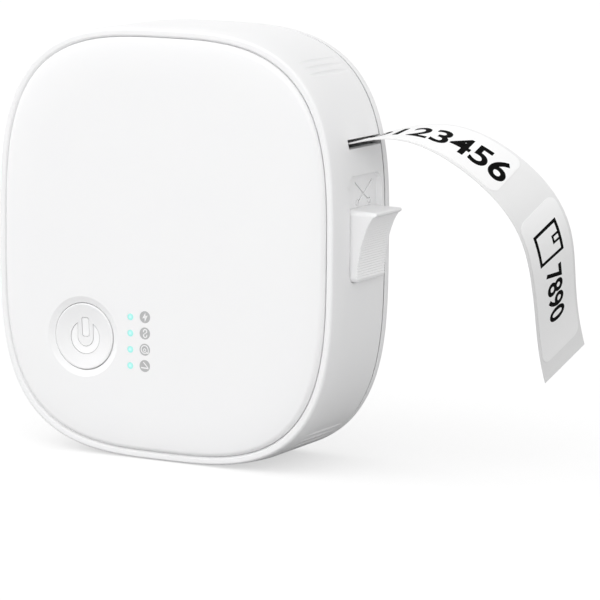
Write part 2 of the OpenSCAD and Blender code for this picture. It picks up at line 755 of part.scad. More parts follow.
module cutter_lever() {
    mid = [(lever_y[0] + lever_y[1]) / 2, (lever_z[0] + lever_z[1]) / 2];
    color("#ececec") {
        intersection() {
            slab(lever_y[0], lever_y[1]) polygon(lever_profile());
            translate([30, mid[0], mid[1]]) rotate([90, 0, 90]) linear_extrude(30)
                round_rect(lever_y[1] - lever_y[0], lever_z[1] - lever_z[0], 1.5);
        }
        block([39.5, recess_floor_x + 0.5], neck_y, neck_z);
    }
}

module cutter_carriage() {
    color("#d9dadb") difference() {
        union() {
            block([36.9, 38.15], [-3.5, 7], [44.2, 58]);
            block([38.15 - eps, 39.5], [-3.5, 7], [44.2, 51.4]);
            block([33.5, 37], [0.5, 3.5], [48, 49.5]);
        }
        for (y = blade_screw_y) translate([36, y, 55]) rotate([0, 90, 0]) cylinder(r = 0.6, h = 4);
    }
}

blade_screw_y = [-1, 4.6];

module cutter_blade() {
    color("#c5c9cd") difference() {
        translate([blade_x[0], 0, 0]) rotate([90, 0, 90]) linear_extrude(blade_x[1] - blade_x[0])
            polygon([[-5.2, 62], [-3.5, 58], [-3.5, 51.9], [7, 51.9], [7, 58], [10.6, 62],
                [10.6, 67.4], [-5.2, 68.6]]);
        for (y = blade_screw_y) translate([36, y, 55]) rotate([0, 90, 0]) cylinder(r = 0.7, h = 4);
    }
}

module blade_screws() {
    color("#777a7d") for (y = blade_screw_y) translate([blade_x[1] + 0.6, y, 55]) rotate([0, 0, 90])
        screw(1.1, 0.6, 0.6, 1.8);
}

module cutter_anvil() {
    color("#9ea3a8") difference() {
        union() {
            block([37.45, 38.05], [deck[1], 10.3], [66.5, 76.5]);
            block([35.5, 38.05], [deck[1], deck[1] + 0.4], [74, 76.5]);
        }
        block([37, 39], [tape_y[0] - 0.15, 12], [71.3, 73.1]);
    }
}

module cutter_spring() {
    color("#8d9196") translate([34.8, 2, 49.5]) coil(1, 0.18, 8, 11.5);
}

module gap_sensor() {
    color("#222226") on_tape(-22, -2.9) block([-1.4, 1.4], [-1, 5], [-0.1, 1.6]);
}

// ---- Label roll ----

hub_y = [deck[1] + 0.5, tape_y[1]];

module roll_hub() {
    color("#dfe0e2") difference() {
        union() {
            rod(roll_at, 9, hub_y[0], hub_y[1]);
            rod(roll_at, 11, hub_y[0], hub_y[0] + 0.2);
        }
        rod(roll_at, 4.05, -20, 8.8);
        rod(roll_at, 7.6, -20, -4.2);
        for (a = [0 : 60 : 300]) rod(roll_at + 6.2 * [cos(a), sin(a)], 1.1, -20, 20);
    }
}

module roll_core() {
    color("#cdbd9f") difference() {
        rod(roll_at, 10.4, tape_y[0], tape_y[1]);
        rod(roll_at, 9, -20, 20);
    }
}

module label_roll() {
    color("#f2f2f0") difference() {
        rod(roll_at, roll_r, tape_y[0], tape_y[1]);
        rod(roll_at, 10.4, -20, 20);
    }
}

web_end = -blade_gap;

module label_web() {
    color("#e9eaec") on_tape(0) block([roll_s, web_end], tape_y, [-liner_t / 2, liner_t / 2]);
}

module web_labels() {
    color("white") on_tape(0) {
        block([-8, web_end], tape_y + label_margin * [1, -1], [liner_t / 2, liner_t / 2 + label_t]);
        block([roll_s + 2, -8 - label_gap], tape_y + label_margin * [1, -1],
            [liner_t / 2, liner_t / 2 + label_t]);
    }
}

module printed_strip() {
    frames = strip_frames(strip_l);
    color("#e9eaec") strip_layer(frames, [for (f = frames) strip_places(tape_w / 2, 0)],
        -liner_t / 2, liner_t / 2);
}

module strip_labels() {
    frames = strip_frames(strip_l);
    first = floor(label_l / strip_step);
    second = ceil((label_l + label_gap) / strip_step);
    color("white") for (span = [[0, first, 0], [second, second + first, 1]]) {
        count = span[1] - span[0];
        strip_layer([for (i = [span[0] : span[1]]) frames[i]],
            [for (i = [0 : count]) strip_places(0, corner_pull((count - i) * strip_step, corner_r)
                + (span[2] > 0 ? corner_pull(i * strip_step, corner_r) : 0))],
            liner_t / 2, liner_t / 2 + label_t);
    }
}

module cover_switch() {
    color("#2b2b2e") block([31.6, 35], [2.5, 6.6], [15, 22]);
    color("#e8e2cf") rod([34.2, 19], 0.6, 6.6, 7.3);
}

mid_shell();
front_panel();
back_cover();
hinge_pin();
cover_pad();
power_button();
switch_plunger();
power_switch();
light_guide();
status_icons();
status_leds();
main_board();
board_chips();
usb_socket();
battery();
battery_lead();
chassis();
stepper_motor();
motor_shaft();
motor_pinion();
motor_lead();
idler_gear();
idler_pin();
gear_bracket();
platen_gear();
platen_shaft();
platen_rubber();
platen_bushes();
print_head();
head_mount();
head_pivot_pin();
head_spring();
head_cable();
cutter_lever();
cutter_carriage();
cutter_blade();
cutter_anvil();
cutter_spring();
gap_sensor();
roll_hub();
roll_core();
label_roll();
label_web();
web_labels();
printed_strip();
strip_labels();
cover_switch();
case_screws();
board_screws();
motor_screws();
bracket_screws();
blade_screws();
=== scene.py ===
import json
import math

import bmesh
import bpy
from mathutils import Matrix, Vector

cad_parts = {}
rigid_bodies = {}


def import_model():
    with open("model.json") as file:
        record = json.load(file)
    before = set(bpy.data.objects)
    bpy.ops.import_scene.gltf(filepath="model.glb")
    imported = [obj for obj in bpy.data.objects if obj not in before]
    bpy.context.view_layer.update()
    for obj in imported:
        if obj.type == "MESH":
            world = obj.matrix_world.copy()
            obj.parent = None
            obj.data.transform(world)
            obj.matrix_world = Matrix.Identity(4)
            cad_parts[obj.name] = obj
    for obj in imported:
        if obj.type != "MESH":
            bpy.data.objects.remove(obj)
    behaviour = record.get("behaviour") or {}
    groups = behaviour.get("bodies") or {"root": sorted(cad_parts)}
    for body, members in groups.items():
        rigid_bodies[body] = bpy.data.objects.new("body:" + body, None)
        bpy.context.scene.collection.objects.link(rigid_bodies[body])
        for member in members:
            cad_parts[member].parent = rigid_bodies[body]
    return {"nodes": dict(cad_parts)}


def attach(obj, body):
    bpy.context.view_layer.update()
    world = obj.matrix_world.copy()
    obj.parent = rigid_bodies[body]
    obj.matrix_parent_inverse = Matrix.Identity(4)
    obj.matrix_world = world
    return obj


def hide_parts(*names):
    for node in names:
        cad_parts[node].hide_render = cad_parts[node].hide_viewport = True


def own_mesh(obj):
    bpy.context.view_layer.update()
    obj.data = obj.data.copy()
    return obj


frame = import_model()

# the factory file's cube, camera and lamp
for obj in [o for o in bpy.data.objects if o.name in ("Cube", "Camera", "Light")]:
    bpy.data.objects.remove(obj)

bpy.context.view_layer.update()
metresPerMm = 0.001

# Everything below is worked out in millimetres, with Z up and the front towards -Y.
# finishPiece() turns each piece to metres at the end.
caseShape = {
    "halfWidth": 43.1,
    "halfHeight": 48.6,
    "centreZ": 48.3,
    "squareAcross": 3.15,   # 2 would be an ellipse, higher turns the corners more squarely
    "squareUp": 3.3,
    "steps": 360,
}


# x and z on the case outline, in the direction of angle
def outlineAt(angle, inset=0.0):
    a, b = caseShape["halfWidth"] - inset, caseShape["halfHeight"] - inset
    n, m = caseShape["squareAcross"], caseShape["squareUp"]
    c, s = math.cos(angle), math.sin(angle)
    guess = 3.2   # near enough to both powers for Newton's steps to close in
    r = (abs(c / a) ** guess + abs(s / b) ** guess) ** (-1 / guess)
    for _ in range(5):
        u, w = abs(r * c / a) ** n, abs(r * s / b) ** m
        r -= (u + w - 1) * r / (n * u + m * w)
    return r * c, r * s + caseShape["centreZ"]


# how far right the case wall reaches at height z
def wallX(z, inset=0.0):
    a, b = caseShape["halfWidth"] - inset, caseShape["halfHeight"] - inset
    up = abs(z - caseShape["centreZ"]) / b
    return a * (1 - up ** caseShape["squareUp"]) ** (1 / caseShape["squareAcross"])


# a skin through rings, each a function that places step 0, 1, 2 ... of steps
def loft(bm, steps, rings, closed=False):
    stepLayer = bm.verts.layers.int.get("step") or bm.verts.layers.int.new("step")
    ring = bmesh.ops.create_circle(bm, segments=steps, radius=1)["verts"]
    for i, v in enumerate(ring):
        v[stepLayer] = i
    edges = list(dict.fromkeys(e for v in ring for e in v.link_edges))   # in order, the same every run
    for v in ring:
        v.co = rings[0](v[stepLayer])
    if not closed:
        bmesh.ops.edgeloop_fill(bm, edges=edges)
    for place in rings[1:] + ([rings[0]] if closed else []):
        out = bmesh.ops.extrude_edge_only(bm, edges=edges)["geom"]
        ring = [g for g in out if isinstance(g, bmesh.types.BMVert)]
        inRing = set(ring)
        edges = [g for g in out if isinstance(g, bmesh.types.BMEdge) and inRing.issuperset(g.verts)]
        for v in ring:
            v.co = place(v[stepLayer])
    if closed:
        bmesh.ops.remove_doubles(bm, verts=bm.verts, dist=1e-4)
    else:
        bmesh.ops.edgeloop_fill(bm, edges=edges)
    bmesh.ops.recalc_face_normals(bm, faces=bm.faces)
    return bm


# the case outline at a depth, cut level where it meets the table
def outlineRing(inset, y, foot=True):
    steps = caseShape["steps"]

    def place(i):
        x, z = outlineAt(2 * math.pi * (i + 0.5) / steps, inset)
        return Vector((x, y, max(z, 0.0) if foot else z))
    return place


# a rectangle with round corners, 12 steps a corner; radius is one, or one for each corner from the upper
# right on; put(u, w) places a point of it
def roundRectRing(width, height, radius, put):
    def place(i):
        corner, turn = divmod(i, 12)
        r = max(radius[corner] if isinstance(radius, tuple) else radius, 0.001)
        a = math.pi / 2 * (corner + turn / 11)
        cu = (width / 2 - r) * (1 if corner in (0, 3) else -1)
        cw = (height / 2 - r) * (1 if corner in (0, 1) else -1)
        return put(cu + r * math.cos(a), cw + r * math.sin(a))
    return place


def addBox(bm, low, high):
    size = Vector(high) - Vector(low)
    place = Matrix.Translation((Vector(high) + Vector(low)) / 2) @ Matrix.Diagonal((*size, 1))
    return bmesh.ops.create_cube(bm, size=1, matrix=place)["verts"]


def addRod(bm, start, end, radius, steps=48):
    start, end = Vector(start), Vector(end)
    turn = (end - start).to_track_quat("Z", "Y").to_matrix().to_4x4()
    return bmesh.ops.create_cone(
        bm, cap_ends=True, segments=steps, radius1=radius, radius2=radius, depth=(end - start).length,
        matrix=Matrix.Translation((start + end) / 2) @ turn)["verts"]


# spins (radius, y) points about the line along Y through centre (x, z)
def addLathe(bm, profile, centre, steps=96):
    verts = [bm.verts.new((centre[0] + r, y, centre[1])) for r, y in profile]
    edges = [bm.edges.new(pair) for pair in zip(verts, verts[1:])]
    bmesh.ops.spin(bm, geom=verts + edges, cent=(centre[0], 0, centre[1]), axis=(0, 1, 0),
                   angle=2 * math.pi, steps=steps, use_merge=True)
    bmesh.ops.remove_doubles(bm, verts=bm.verts, dist=1e-4)
    bmesh.ops.recalc_face_normals(bm, faces=bm.faces)


def roundEdges(bm, edges, radius, segments):
    bmesh.ops.bevel(bm, geom=edges, offset=radius, offset_type="OFFSET", affect="EDGES", segments=segments,
                    profile=0.5, material=-1)


def newObject(name, data):
    obj = bpy.data.objects.new(name, data)
    bpy.context.scene.collection.objects.link(obj)
    return obj


# an object made from bm, in the units of bm; a piece stays in millimetres until it is finished
def roughPiece(name, bm):
    mesh = bpy.data.meshes.new(name)
    bm.to_mesh(mesh)
    bm.free()
    return newObject(name, mesh)


# one rough piece of a shape maker and its arguments
def solid(name, make, *arguments, **options):
    bm = bmesh.new()
    make(bm, *arguments, **options)
    return roughPiece(name, bm)


# adds a shape made on its own to bm, as a separate shell
def addShell(bm, shell):
    mesh = bpy.data.meshes.new("shell")
    shell.to_mesh(mesh)
    shell.free()
    bm.from_mesh(mesh)
    bpy.data.meshes.remove(mesh)


def bakeModifiers(obj):
    bpy.context.view_layer.update()
    baked = bpy.data.meshes.new_from_object(obj.evaluated_get(bpy.context.evaluated_depsgraph_get()))
    obj.modifiers.clear()
    old, obj.data = obj.data, baked
    bpy.data.meshes.remove(old)


# cuts other away from obj, or joins it on, and removes other
def combine(obj, other, operation="DIFFERENCE"):
    step = obj.modifiers.new("combine", "BOOLEAN")
    step.object, step.operation, step.solver = other, operation, "EXACT"
    bakeModifiers(obj)
    bpy.data.objects.remove(other)


# one solid of several (shape maker, arguments), each added to the last
def joined(name, shapes):
    whole = solid(name, *shapes[0])
    for shape in shapes[1:]:
        combine(whole, solid(name, *shape), "UNION")
    return whole


# cleans the mesh, takes it to metres, shades it and sets it in the frame
def finishPiece(obj, materials, body, nodes=(), sharpAngle=32):
    bm = bmesh.new()
    bm.from_mesh(obj.data)
    bmesh.ops.remove_doubles(bm, verts=bm.verts, dist=2e-4)
    bmesh.ops.dissolve_degenerate(bm, edges=bm.edges, dist=1e-4)
    bmesh.ops.scale(bm, vec=(metresPerMm,) * 3, verts=bm.verts)
    bm.to_mesh(obj.data)
    bm.free()
    obj.data.polygons.foreach_set("use_smooth", [True] * len(obj.data.polygons))
    obj.data.set_sharp_from_angle(angle=math.radians(sharpAngle))
    shading = obj.modifiers.new("shading", "WEIGHTED_NORMAL")
    shading.keep_sharp = True
    bakeModifiers(obj)
    obj.data.materials.clear()
    for m in materials:
        obj.data.materials.append(m)
    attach(obj, body)
    if nodes:
        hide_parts(*nodes)


# linear colour of an sRGB hex value
def srgb(code):
    parts = [int(code[i:i + 2], 16) / 255 for i in (1, 3, 5)]
    return tuple(p / 12.92 if p <= 0.04045 else ((p + 0.055) / 1.055) ** 2.4 for p in parts) + (1.0,)


def wire(material, node, sources):
    for socket, source in sources.items():
        material.node_tree.links.new(source, node.inputs[socket])


def addNode(material, kind, settings=None, links=None):
    node = material.node_tree.nodes.new(kind)
    for key, value in (settings or {}).items():
        if isinstance(key, int) or key in node.inputs:
            node.inputs[key].default_value = value
        else:
            setattr(node, key, value)
    wire(material, node, links or {})
    return node


def addMath(material, operation, value, second):
    return addNode(material, "ShaderNodeMath", {"operation": operation, 1: second}, {0: value})


# value from 0 to 1, taken to low to high
def addRange(material, value, low, high):
    return addNode(material, "ShaderNodeMapRange", {"To Min": low, "To Max": high},
                   {"Value": value}).outputs["Result"]


def addBump(material, height, strength, depthMm):
    return addNode(material, "ShaderNodeBump", {"Strength": strength, "Distance": depthMm * metresPerMm},
                   {"Height": height}).outputs["Normal"]


# noise with features about sizeMm across
def addNoise(material, coords, sizeMm, **settings):
    return addNode(material, "ShaderNodeTexNoise", {"Scale": 1 / (sizeMm * metresPerMm), **settings},
                   {"Vector": coords})


# from the first colour to the second, as share goes from 0 to 1
def addBlend(material, first, second, share):
    return addNode(material, "ShaderNodeMix", {"data_type": "RGBA", 6: srgb(first), 7: srgb(second)},
                   {0: share}).outputs[2]


# a material with its Principled shader, and the object's own coordinates
def startMaterial(name, settings):
    material = bpy.data.materials.new(name)
    material.use_nodes = True
    shader = material.node_tree.nodes["Principled BSDF"]
    for key, value in settings.items():
        shader.inputs[key].default_value = value
    coords = addNode(material, "ShaderNodeTexCoord")
    return material, shader, coords.outputs["Object"]


# two close tones in soft clouds, with a fine grain that changes the gloss and lifts the surface a little
def grainedMaterial(name, look):
    material, shader, coords = startMaterial(name, {"Metallic": look.get("metallic", 0.0)})
    if "ior" in look:
        shader.inputs["IOR"].default_value = look["ior"]
    if "emission" in look:
        shader.inputs["Emission Color"].default_value = srgb(look["emission"])
        shader.inputs["Emission Strength"].default_value = look["glow"]
    if "stretch" in look:
        stretched = addNode(material, "ShaderNodeMapping", {"Scale": look["stretch"]}, {"Vector": coords})
        coords = stretched.outputs[0]
    grain = addNoise(material, coords, look["grainMm"], Detail=look.get("detail", 3.0), Roughness=0.6)
    cloud = addNoise(material, coords, look["cloudMm"], Detail=2.0)
    tone = addBlend(material, look["colour"], look["tone"], cloud.outputs["Fac"])
    gloss = addRange(material, grain.outputs["Fac"], *look["roughness"])
    bump = addBump(material, grain.outputs["Fac"], look["bump"], 0.02)
    wire(material, shader, {"Base Color": tone, "Roughness": gloss, "Normal": bump})
    return material


# ABS from a mould with a fine eroded finish: soft wide highlights, no mirror, a faint grain close up
caseAbs = grainedMaterial("absErodedWhite", {
    "colour": "#f3f3f3", "tone": "#f1f1f2", "ior": 1.46, "roughness": (0.40, 0.50), "bump": 0.25,
    "grainMm": 0.35, "cloudMm": 14})
# The front is polished a little finer, so its pillowed edge turns from light to shade smoothly
frontAbs = grainedMaterial("absSatinWhite", {
    "colour": "#f4f4f4", "tone": "#f2f2f3", "ior": 1.46, "roughness": (0.34, 0.42), "bump": 0.15,
    "grainMm": 0.35, "cloudMm": 18})
buttonAbs = grainedMaterial("absSatinButton", {
    "colour": "#f2f2f2", "tone": "#f0f0f1", "ior": 1.46, "roughness": (0.30, 0.38), "bump": 0.12,
    "grainMm": 0.3, "cloudMm": 6})
# The symbol's inlay is polished, and its colour is painted a shade brighter than the dish about it as painted
# light on the symbol's floor
symbolAbsPaintedLight = grainedMaterial("absPolishedSymbolPaintedLight", {
    "colour": "#fafafa", "tone": "#f8f8f9", "ior": 1.46, "roughness": (0.2, 0.26), "bump": 0.06,
    "grainMm": 0.3, "cloudMm": 6})
# The lever's plastic is painted whiter than the case's, as painted light on its side where the case shades it
leverAbsPaintedLight = grainedMaterial("absSatinLeverPaintedLight", {
    "colour": "#f8f8f8", "tone": "#f6f6f7", "ior": 1.46, "roughness": (0.36, 0.46), "bump": 0.2,
    "grainMm": 0.3, "cloudMm": 6})
print("materials for the case are ready")


shell = {
    # inset from the outline and depth: the rim's inner edge, its flat face, a tight rounding, then a long
    # soft blend into the side, the edge at the seam, and the inside of the wall
    "rings": [(2.22, -13.4), (2.12, -13.5), (1.98, -13.72), (1.9, -13.88), (1.8, -13.97), (1.68, -14),
              (0.98, -14), (0.86, -13.98), (0.74, -13.92), (0.62, -13.82), (0.53, -13.68), (0.46, -13.5),
              (0.4, -13.2), (0.33, -12.6), (0.25, -11.8), (0.15, -10.8), (0.06, -9.6), (0, -8.4), (0, -2),
              (0, 4), (0, 9.84), (0.03, 9.93), (0.1, 9.99), (0.3, 10.025), (1.9, 10.025), (1.9, -10),
              (3.4, -11), (3.4, -12.2), (2.22, -12.2)],
    "slotX": (36, 46), "slotY": (-5.25, 12), "slotZ": (71.7, 73.8),
    "recessY": (-6.7, 8.6), "recessZ": (42.6, 65.8), "recessFloor": 41.6, "recessCorner": 2.0,
    "backingX": (40.3, 42.2), "neckX": (38, 44), "neckY": (-0.8, 4.8), "neckZ": (44.7, 56.3),
    # lowest and highest corner of the lever's track, beside it and under its foot
    "track": (((40.2, -6.7, 42.58), (41.7, -6.25, 58.4)), ((40.5, -6.3, 42.58), (41.7, 7.6, 42.85))),
    "portY": -9.7, "portZ": 31.0, "portSize": (3.8, 9.6), "portCorner": 1.6, "portFloor": 36.0, "lip": 0.2,
    "grooveAngles": (51.9, 48.6, 45.3, -45.8, -49.6, -53.8), "grooveY": (-10.3, 8.3),
    "grooveRadius": 0.8, "grooveDepth": 0.3, "grooveReach": 1.35,
}
caseMiddle = caseShape["centreZ"]


# cuts a round-cornered pocket from the wall down to x = floor, with a soft lip and a soft floor edge
def flaredCutter(name, width, height, corner, middleY, middleZ, floor, lip, side=1):
    def ring(out, depth, grow):
        def put(u, w):
            z = middleZ + w
            x = floor + depth if depth is not None else wallX(z) + out
            return Vector((side * x, middleY + u, z))
        return roundRectRing(width + 2 * grow, height + 2 * grow, max(corner + grow, 0.05), put)
    bm = loft(bmesh.new(), 48, [
        ring(None, 0.0, -0.5), ring(None, 0.02, -0.3), ring(None, 0.1, -0.12), ring(None, 0.3, 0.0),
        ring(-lip, None, 0.0), ring(-lip * 0.55, None, lip * 0.12), ring(-lip * 0.2, None, lip * 0.42),
        ring(lip * 0.15, None, lip * 1.1), ring(4.0, None, lip * 1.5)])
    return roughPiece(name, bm)


midShell = solid("midShell", loft, caseShape["steps"], [outlineRing(*r) for r in shell["rings"]], closed=True)

# the wall behind the thumb recess, and the hinge's fixed knuckles
low = (shell["backingX"][0], shell["recessY"][0] - 1, shell["recessZ"][0] - 1)
high = (shell["backingX"][1], shell["recessY"][1] + 1, shell["recessZ"][1] + 1)
combine(midShell, solid("backing", addBox, low, high), "UNION")
hinge = {"x": -41.4, "y": 12.3, "knuckle": 1.35, "fixed": (8.1, 12), "bore": 0.66, "boreZ": (30, 70),
         "lugFrom": 8.2, "lugIn": 0.9}
knuckles = []
for side in (-1, 1):
    low, high = sorted(caseMiddle + side * z for z in hinge["fixed"])
    knuckles.append((addRod, (hinge["x"], hinge["y"], low), (hinge["x"], hinge["y"], high), hinge["knuckle"]))
    knuckles.append((addBox, (hinge["x"] - hinge["knuckle"], hinge["lugFrom"], low),
                     (hinge["x"] + hinge["lugIn"], hinge["y"], high)))
combine(midShell, joined("lugs", knuckles), "UNION")
low, high = [(hinge["x"], hinge["y"], z) for z in hinge["boreZ"]]
combine(midShell, solid("pinBore", addRod, low, high, hinge["bore"], 32))

low, high = zip(shell["recessY"], shell["recessZ"])
combine(midShell, flaredCutter("recess", high[0] - low[0], high[1] - low[1], shell["recessCorner"],
                               (low[0] + high[0]) / 2, (low[1] + high[1]) / 2, shell["recessFloor"],
                               shell["lip"]))
for name in ("slot", "neck"):
    low, high = zip(shell[name + "X"], shell[name + "Y"], shell[name + "Z"])
    combine(midShell, solid(name, addBox, low, high))
combine(midShell, flaredCutter("port", *shell["portSize"], shell["portCorner"], shell["portY"],
                               shell["portZ"], shell["portFloor"], shell["lip"], side=-1))
print("case band cut out")

# grip grooves: long spindles sunk a little way into the corners, so each fades out at its ends
bm = bmesh.new()
for angle in shell["grooveAngles"]:
    t = math.radians(angle)
    x = caseShape["halfWidth"] * abs(math.cos(t)) ** (2 / caseShape["squareAcross"])
    up = caseShape["halfHeight"] * abs(math.sin(t)) ** (2 / caseShape["squareUp"])
    z = math.copysign(up, t) + caseMiddle
    radius = shell["grooveRadius"]
    lift = radius - shell["grooveDepth"]
    low, high = shell["grooveY"]
    spindle = bmesh.ops.create_uvsphere(bm, u_segments=32, v_segments=24, radius=1)["verts"]
    bmesh.ops.scale(bm, vec=(radius, radius, (high - low) / 2 * shell["grooveReach"]), verts=spindle)
    bmesh.ops.rotate(bm, cent=(0, 0, 0), matrix=Matrix.Rotation(math.pi / 2, 3, "X"), verts=spindle)
    bmesh.ops.translate(bm, vec=Vector((x + lift * math.cos(t), (low + high) / 2, z + lift * math.sin(t))),
                        verts=spindle)
combine(midShell, roughPiece("grooves", bm))

# the lever runs in a track cut deeper into the recess floor: a dark gap along its side and foot
for low, high in shell["track"]:
    combine(midShell, solid("track", addBox, low, high))

# scissors mark engraved in the recess floor, above the lever
mark = {"line": 0.32, "depth": 0.4, "y": 2.2, "z": 61.5, "turn": 57, "blade": (-2.85, 5.0), "loop": -3.4,
        "loopRadius": (0.78, 0.46)}
markFloor = shell["recessFloor"] - mark["depth"]
for side in (-1, 1):
    turned = Matrix.Rotation(math.radians(side * mark["turn"]), 3, "X")
    bm = bmesh.new()
    addBox(bm, (markFloor, -mark["line"] / 2, mark["blade"][0]),
           (shell["recessFloor"] + 1, mark["line"] / 2, mark["blade"][1]))
    bmesh.ops.rotate(bm, cent=(0, 0, 0), matrix=turned, verts=bm.verts)
    bmesh.ops.translate(bm, vec=(0, mark["y"], mark["z"]), verts=bm.verts)
    combine(midShell, roughPiece("blade", bm))
    middle = turned @ Vector((0, 0, mark["loop"])) + Vector((0, mark["y"], mark["z"]))
    y, z = middle.yz
    loop = solid("loop", addRod, (markFloor, y, z), (shell["recessFloor"] + 1, y, z), mark["loopRadius"][0])
    combine(loop, solid("loopHole", addRod, (markFloor - 1, y, z), (shell["recessFloor"] + 2, y, z),
                        mark["loopRadius"][1]))
    combine(midShell, loop)
finishPiece(midShell, [caseAbs], "case", ["mid_shell"])
print("case band finished")


panel = {
    # the edge's inset from the outline, and how the face rolls off towards it: slowly over the last 9 mm,
    # then quickly over the last 1 mm
    "edge": 2.3, "faceY": -15.0, "edgeY": -13.5, "roll": 9.0, "edgeRoll": 1.0, "backY": -12.2,
    "rollSteps": (9, 8, 7, 6, 5, 4.1, 3.3, 2.6, 2.0, 1.6, 1.3, 1.1, 0.95, 0.78, 0.6, 0.44, 0.3, 0.18, 0.09,
                  0.03, 0.005),
    "buttonAt": (-19.73, 26.7), "buttonRadius": 7.5, "buttonGap": 0.14, "ringRadius": 9.1, "ringDepth": 0.55,
    "lightX": -7.43, "iconX": -3.66, "topLightZ": 32.2, "pitch": 3.67, "iconRise": 0.25,
    "lightRadius": 0.75, "lightGap": 0.02, "iconRadius": 1.35, "iconDepth": 0.15,
    "openTo": -11,   # the openings are cut this far back
}
lightHeights = [panel["topLightZ"] - i * panel["pitch"] for i in range(4)]


def panelRing(distance):
    half = (panel["edgeY"] - panel["faceY"]) / 2
    drop = 0.0
    for reach in (panel["roll"], panel["edgeRoll"]):
        share = max(reach - distance, 0) / reach
        drop += half * (1 - math.sqrt(max(1 - share * share, 0)))
    return outlineRing(panel["edge"] + distance, panel["faceY"] + drop, foot=False)


# the edge, the back, and the hollow behind the face
edge, back = panel["edge"], panel["backY"]
backRings = [(edge, -13.3), (edge, back), (4.2, back), (6, -12.8), (12, -13.1)]
frontPanel = solid("frontPanel", loft, caseShape["steps"], [panelRing(d) for d in panel["rollSteps"]] + [
    outlineRing(*r, foot=False) for r in backRings])

# the button's opening, with its sloping ring
bore, ring, face = panel["buttonRadius"] + panel["buttonGap"], panel["ringRadius"], panel["faceY"]
floorY = face + panel["ringDepth"]
combine(frontPanel, solid("buttonOpening", addLathe, [
    (0, face - 2), (ring + 1.2, face - 2), (ring + 0.5, face - 0.25), (ring + 0.14, face - 0.03),
    (ring, face + 0.03), (ring - 0.16, face + 0.08), (bore + 0.16, floorY - 0.05), (bore + 0.05, floorY),
    (bore, floorY + 0.08), (bore, panel["openTo"]), (0, panel["openTo"])], panel["buttonAt"], 128))
bm = bmesh.new()
x, iconX = panel["lightX"], panel["iconX"]
for z in lightHeights:
    addRod(bm, (x, face - 1, z), (x, panel["openTo"], z), panel["lightRadius"] + panel["lightGap"], 40)
    iconZ = z + panel["iconRise"]
    addRod(bm, (iconX, face - 1, iconZ), (iconX, face + panel["iconDepth"], iconZ), panel["iconRadius"], 56)
combine(frontPanel, roughPiece("windows", bm))
finishPiece(frontPanel, [frontAbs], "case", ["front_panel"])
print("front panel finished")


cover = {
    # undercut at the seam, so that the gap looks dark
    "rings": [(2.9, 12.7), (1.9, 12.2), (1.9, 11.0), (0.6, 10.85), (0.12, 10.43), (0.03, 10.45), (0, 10.54),
              (0, 11.5), (0.06, 12.1), (0.2, 12.6), (0.42, 13.05), (0.75, 13.5), (1.15, 13.85), (1.65, 14.12),
              (2.2, 14.29), (2.9, 14.38), (4, 14.4)],
    "bore": 0.7, "edgeRadius": 2.0, "knuckle": 7.9, "webY": (10.925, 13.2), "webIn": 1.4, "relief": 32,
    # room for the case's knuckles: its middle above and below the case's middle, and half its height
    "room": (10.05, 2.15),
    # snap tongues, from corner to corner about the case's middle: two right, one at the top, one at the foot
    "tongues": (((33.8, 7.6, 30), (35.2, 12.9, 35)), ((33.6, 7.6, -33), (34.8, 12.9, -27)),
                ((-5, 7.6, 44.4), (5, 12.9, 45.6)), ((-5, 7.6, -45.6), (5, 12.9, -44.4))),
}


# a point on the hinge's line, from the case's middle up
def onHinge(up):
    return hinge["x"], hinge["y"], caseMiddle + up


backCover = solid("backCover", loft, caseShape["steps"], [outlineRing(*r) for r in cover["rings"]])
bm = bmesh.new()
for side in (-1, 1):
    z, half = caseMiddle + side * cover["room"][0], cover["room"][1]
    addBox(bm, (-60, 0, z - half), (hinge["x"] + 2, 30, z + half))
combine(backCover, roughPiece("knuckleRoom", bm))
added = [(addRod, onHinge(-cover["knuckle"]), onHinge(cover["knuckle"]), hinge["knuckle"]),
         (addBox, (hinge["x"], cover["webY"][0], caseMiddle - cover["knuckle"]),
          (hinge["x"] + cover["webIn"], cover["webY"][1], caseMiddle + cover["knuckle"]))]
for low, high in cover["tongues"]:
    added.append((addBox, (low[0], low[1], low[2] + caseMiddle), (high[0], high[1], high[2] + caseMiddle)))
combine(backCover, joined("knuckleAndTongues", added), "UNION")
# the edge beyond the pin is rounded about it, so the cover can swing
relief = solid("relief", addBox, (-60, 0, caseMiddle - cover["relief"]), onHinge(cover["relief"]))
combine(relief, solid("reliefRound", addRod, onHinge(-33), onHinge(33), cover["edgeRadius"], 64))
combine(backCover, relief)
combine(backCover, solid("coverBore", addRod, onHinge(-15), onHinge(15), cover["bore"], 32))
finishPiece(backCover, [caseAbs], "cover", ["back_cover"])
print("back cover finished")


button = {
    "faceY": -14.7, "dish": 0.8, "dishRadius": 7.2, "symbolDepth": 0.5, "inlayGap": 0.14, "inlayDrop": 0.07,
    "layerRadius": 6.5, "arcDrop": 0.3, "symbolOuter": 3.8, "symbolInner": 1.95, "gap": 3.9,
    "bar": 1.95, "barMiddle": 2.05, "barLength": 4.45, "barCorner": 0.5,
}


def dishAt(r):
    return button["faceY"] + button["dish"] * max(0.0, 1 - (r / button["dishRadius"]) ** 2)


radius, face = panel["buttonRadius"], button["faceY"]
rim = [(radius - 0.2, face + 0.005), (radius - 0.12, face + 0.03), (radius - 0.05, face + 0.09),
       (radius - 0.01, face + 0.18), (radius, face + 0.3), (radius, face + 1.75)]
under = [(radius + 0.9, face + 1.75), (radius + 0.9, face + 2.3), (4.8, face + 2.3), (4.8, face + 1.75),
         (1.2, face + 1.75), (1.2, face + 2.45), (0, face + 2.45)]
radii = [button["dishRadius"] * k / 16 for k in range(17)]
dish = [(r, dishAt(r)) for r in radii]
powerButton = solid("powerButton", addLathe, dish + rim + under, panel["buttonAt"], 128)


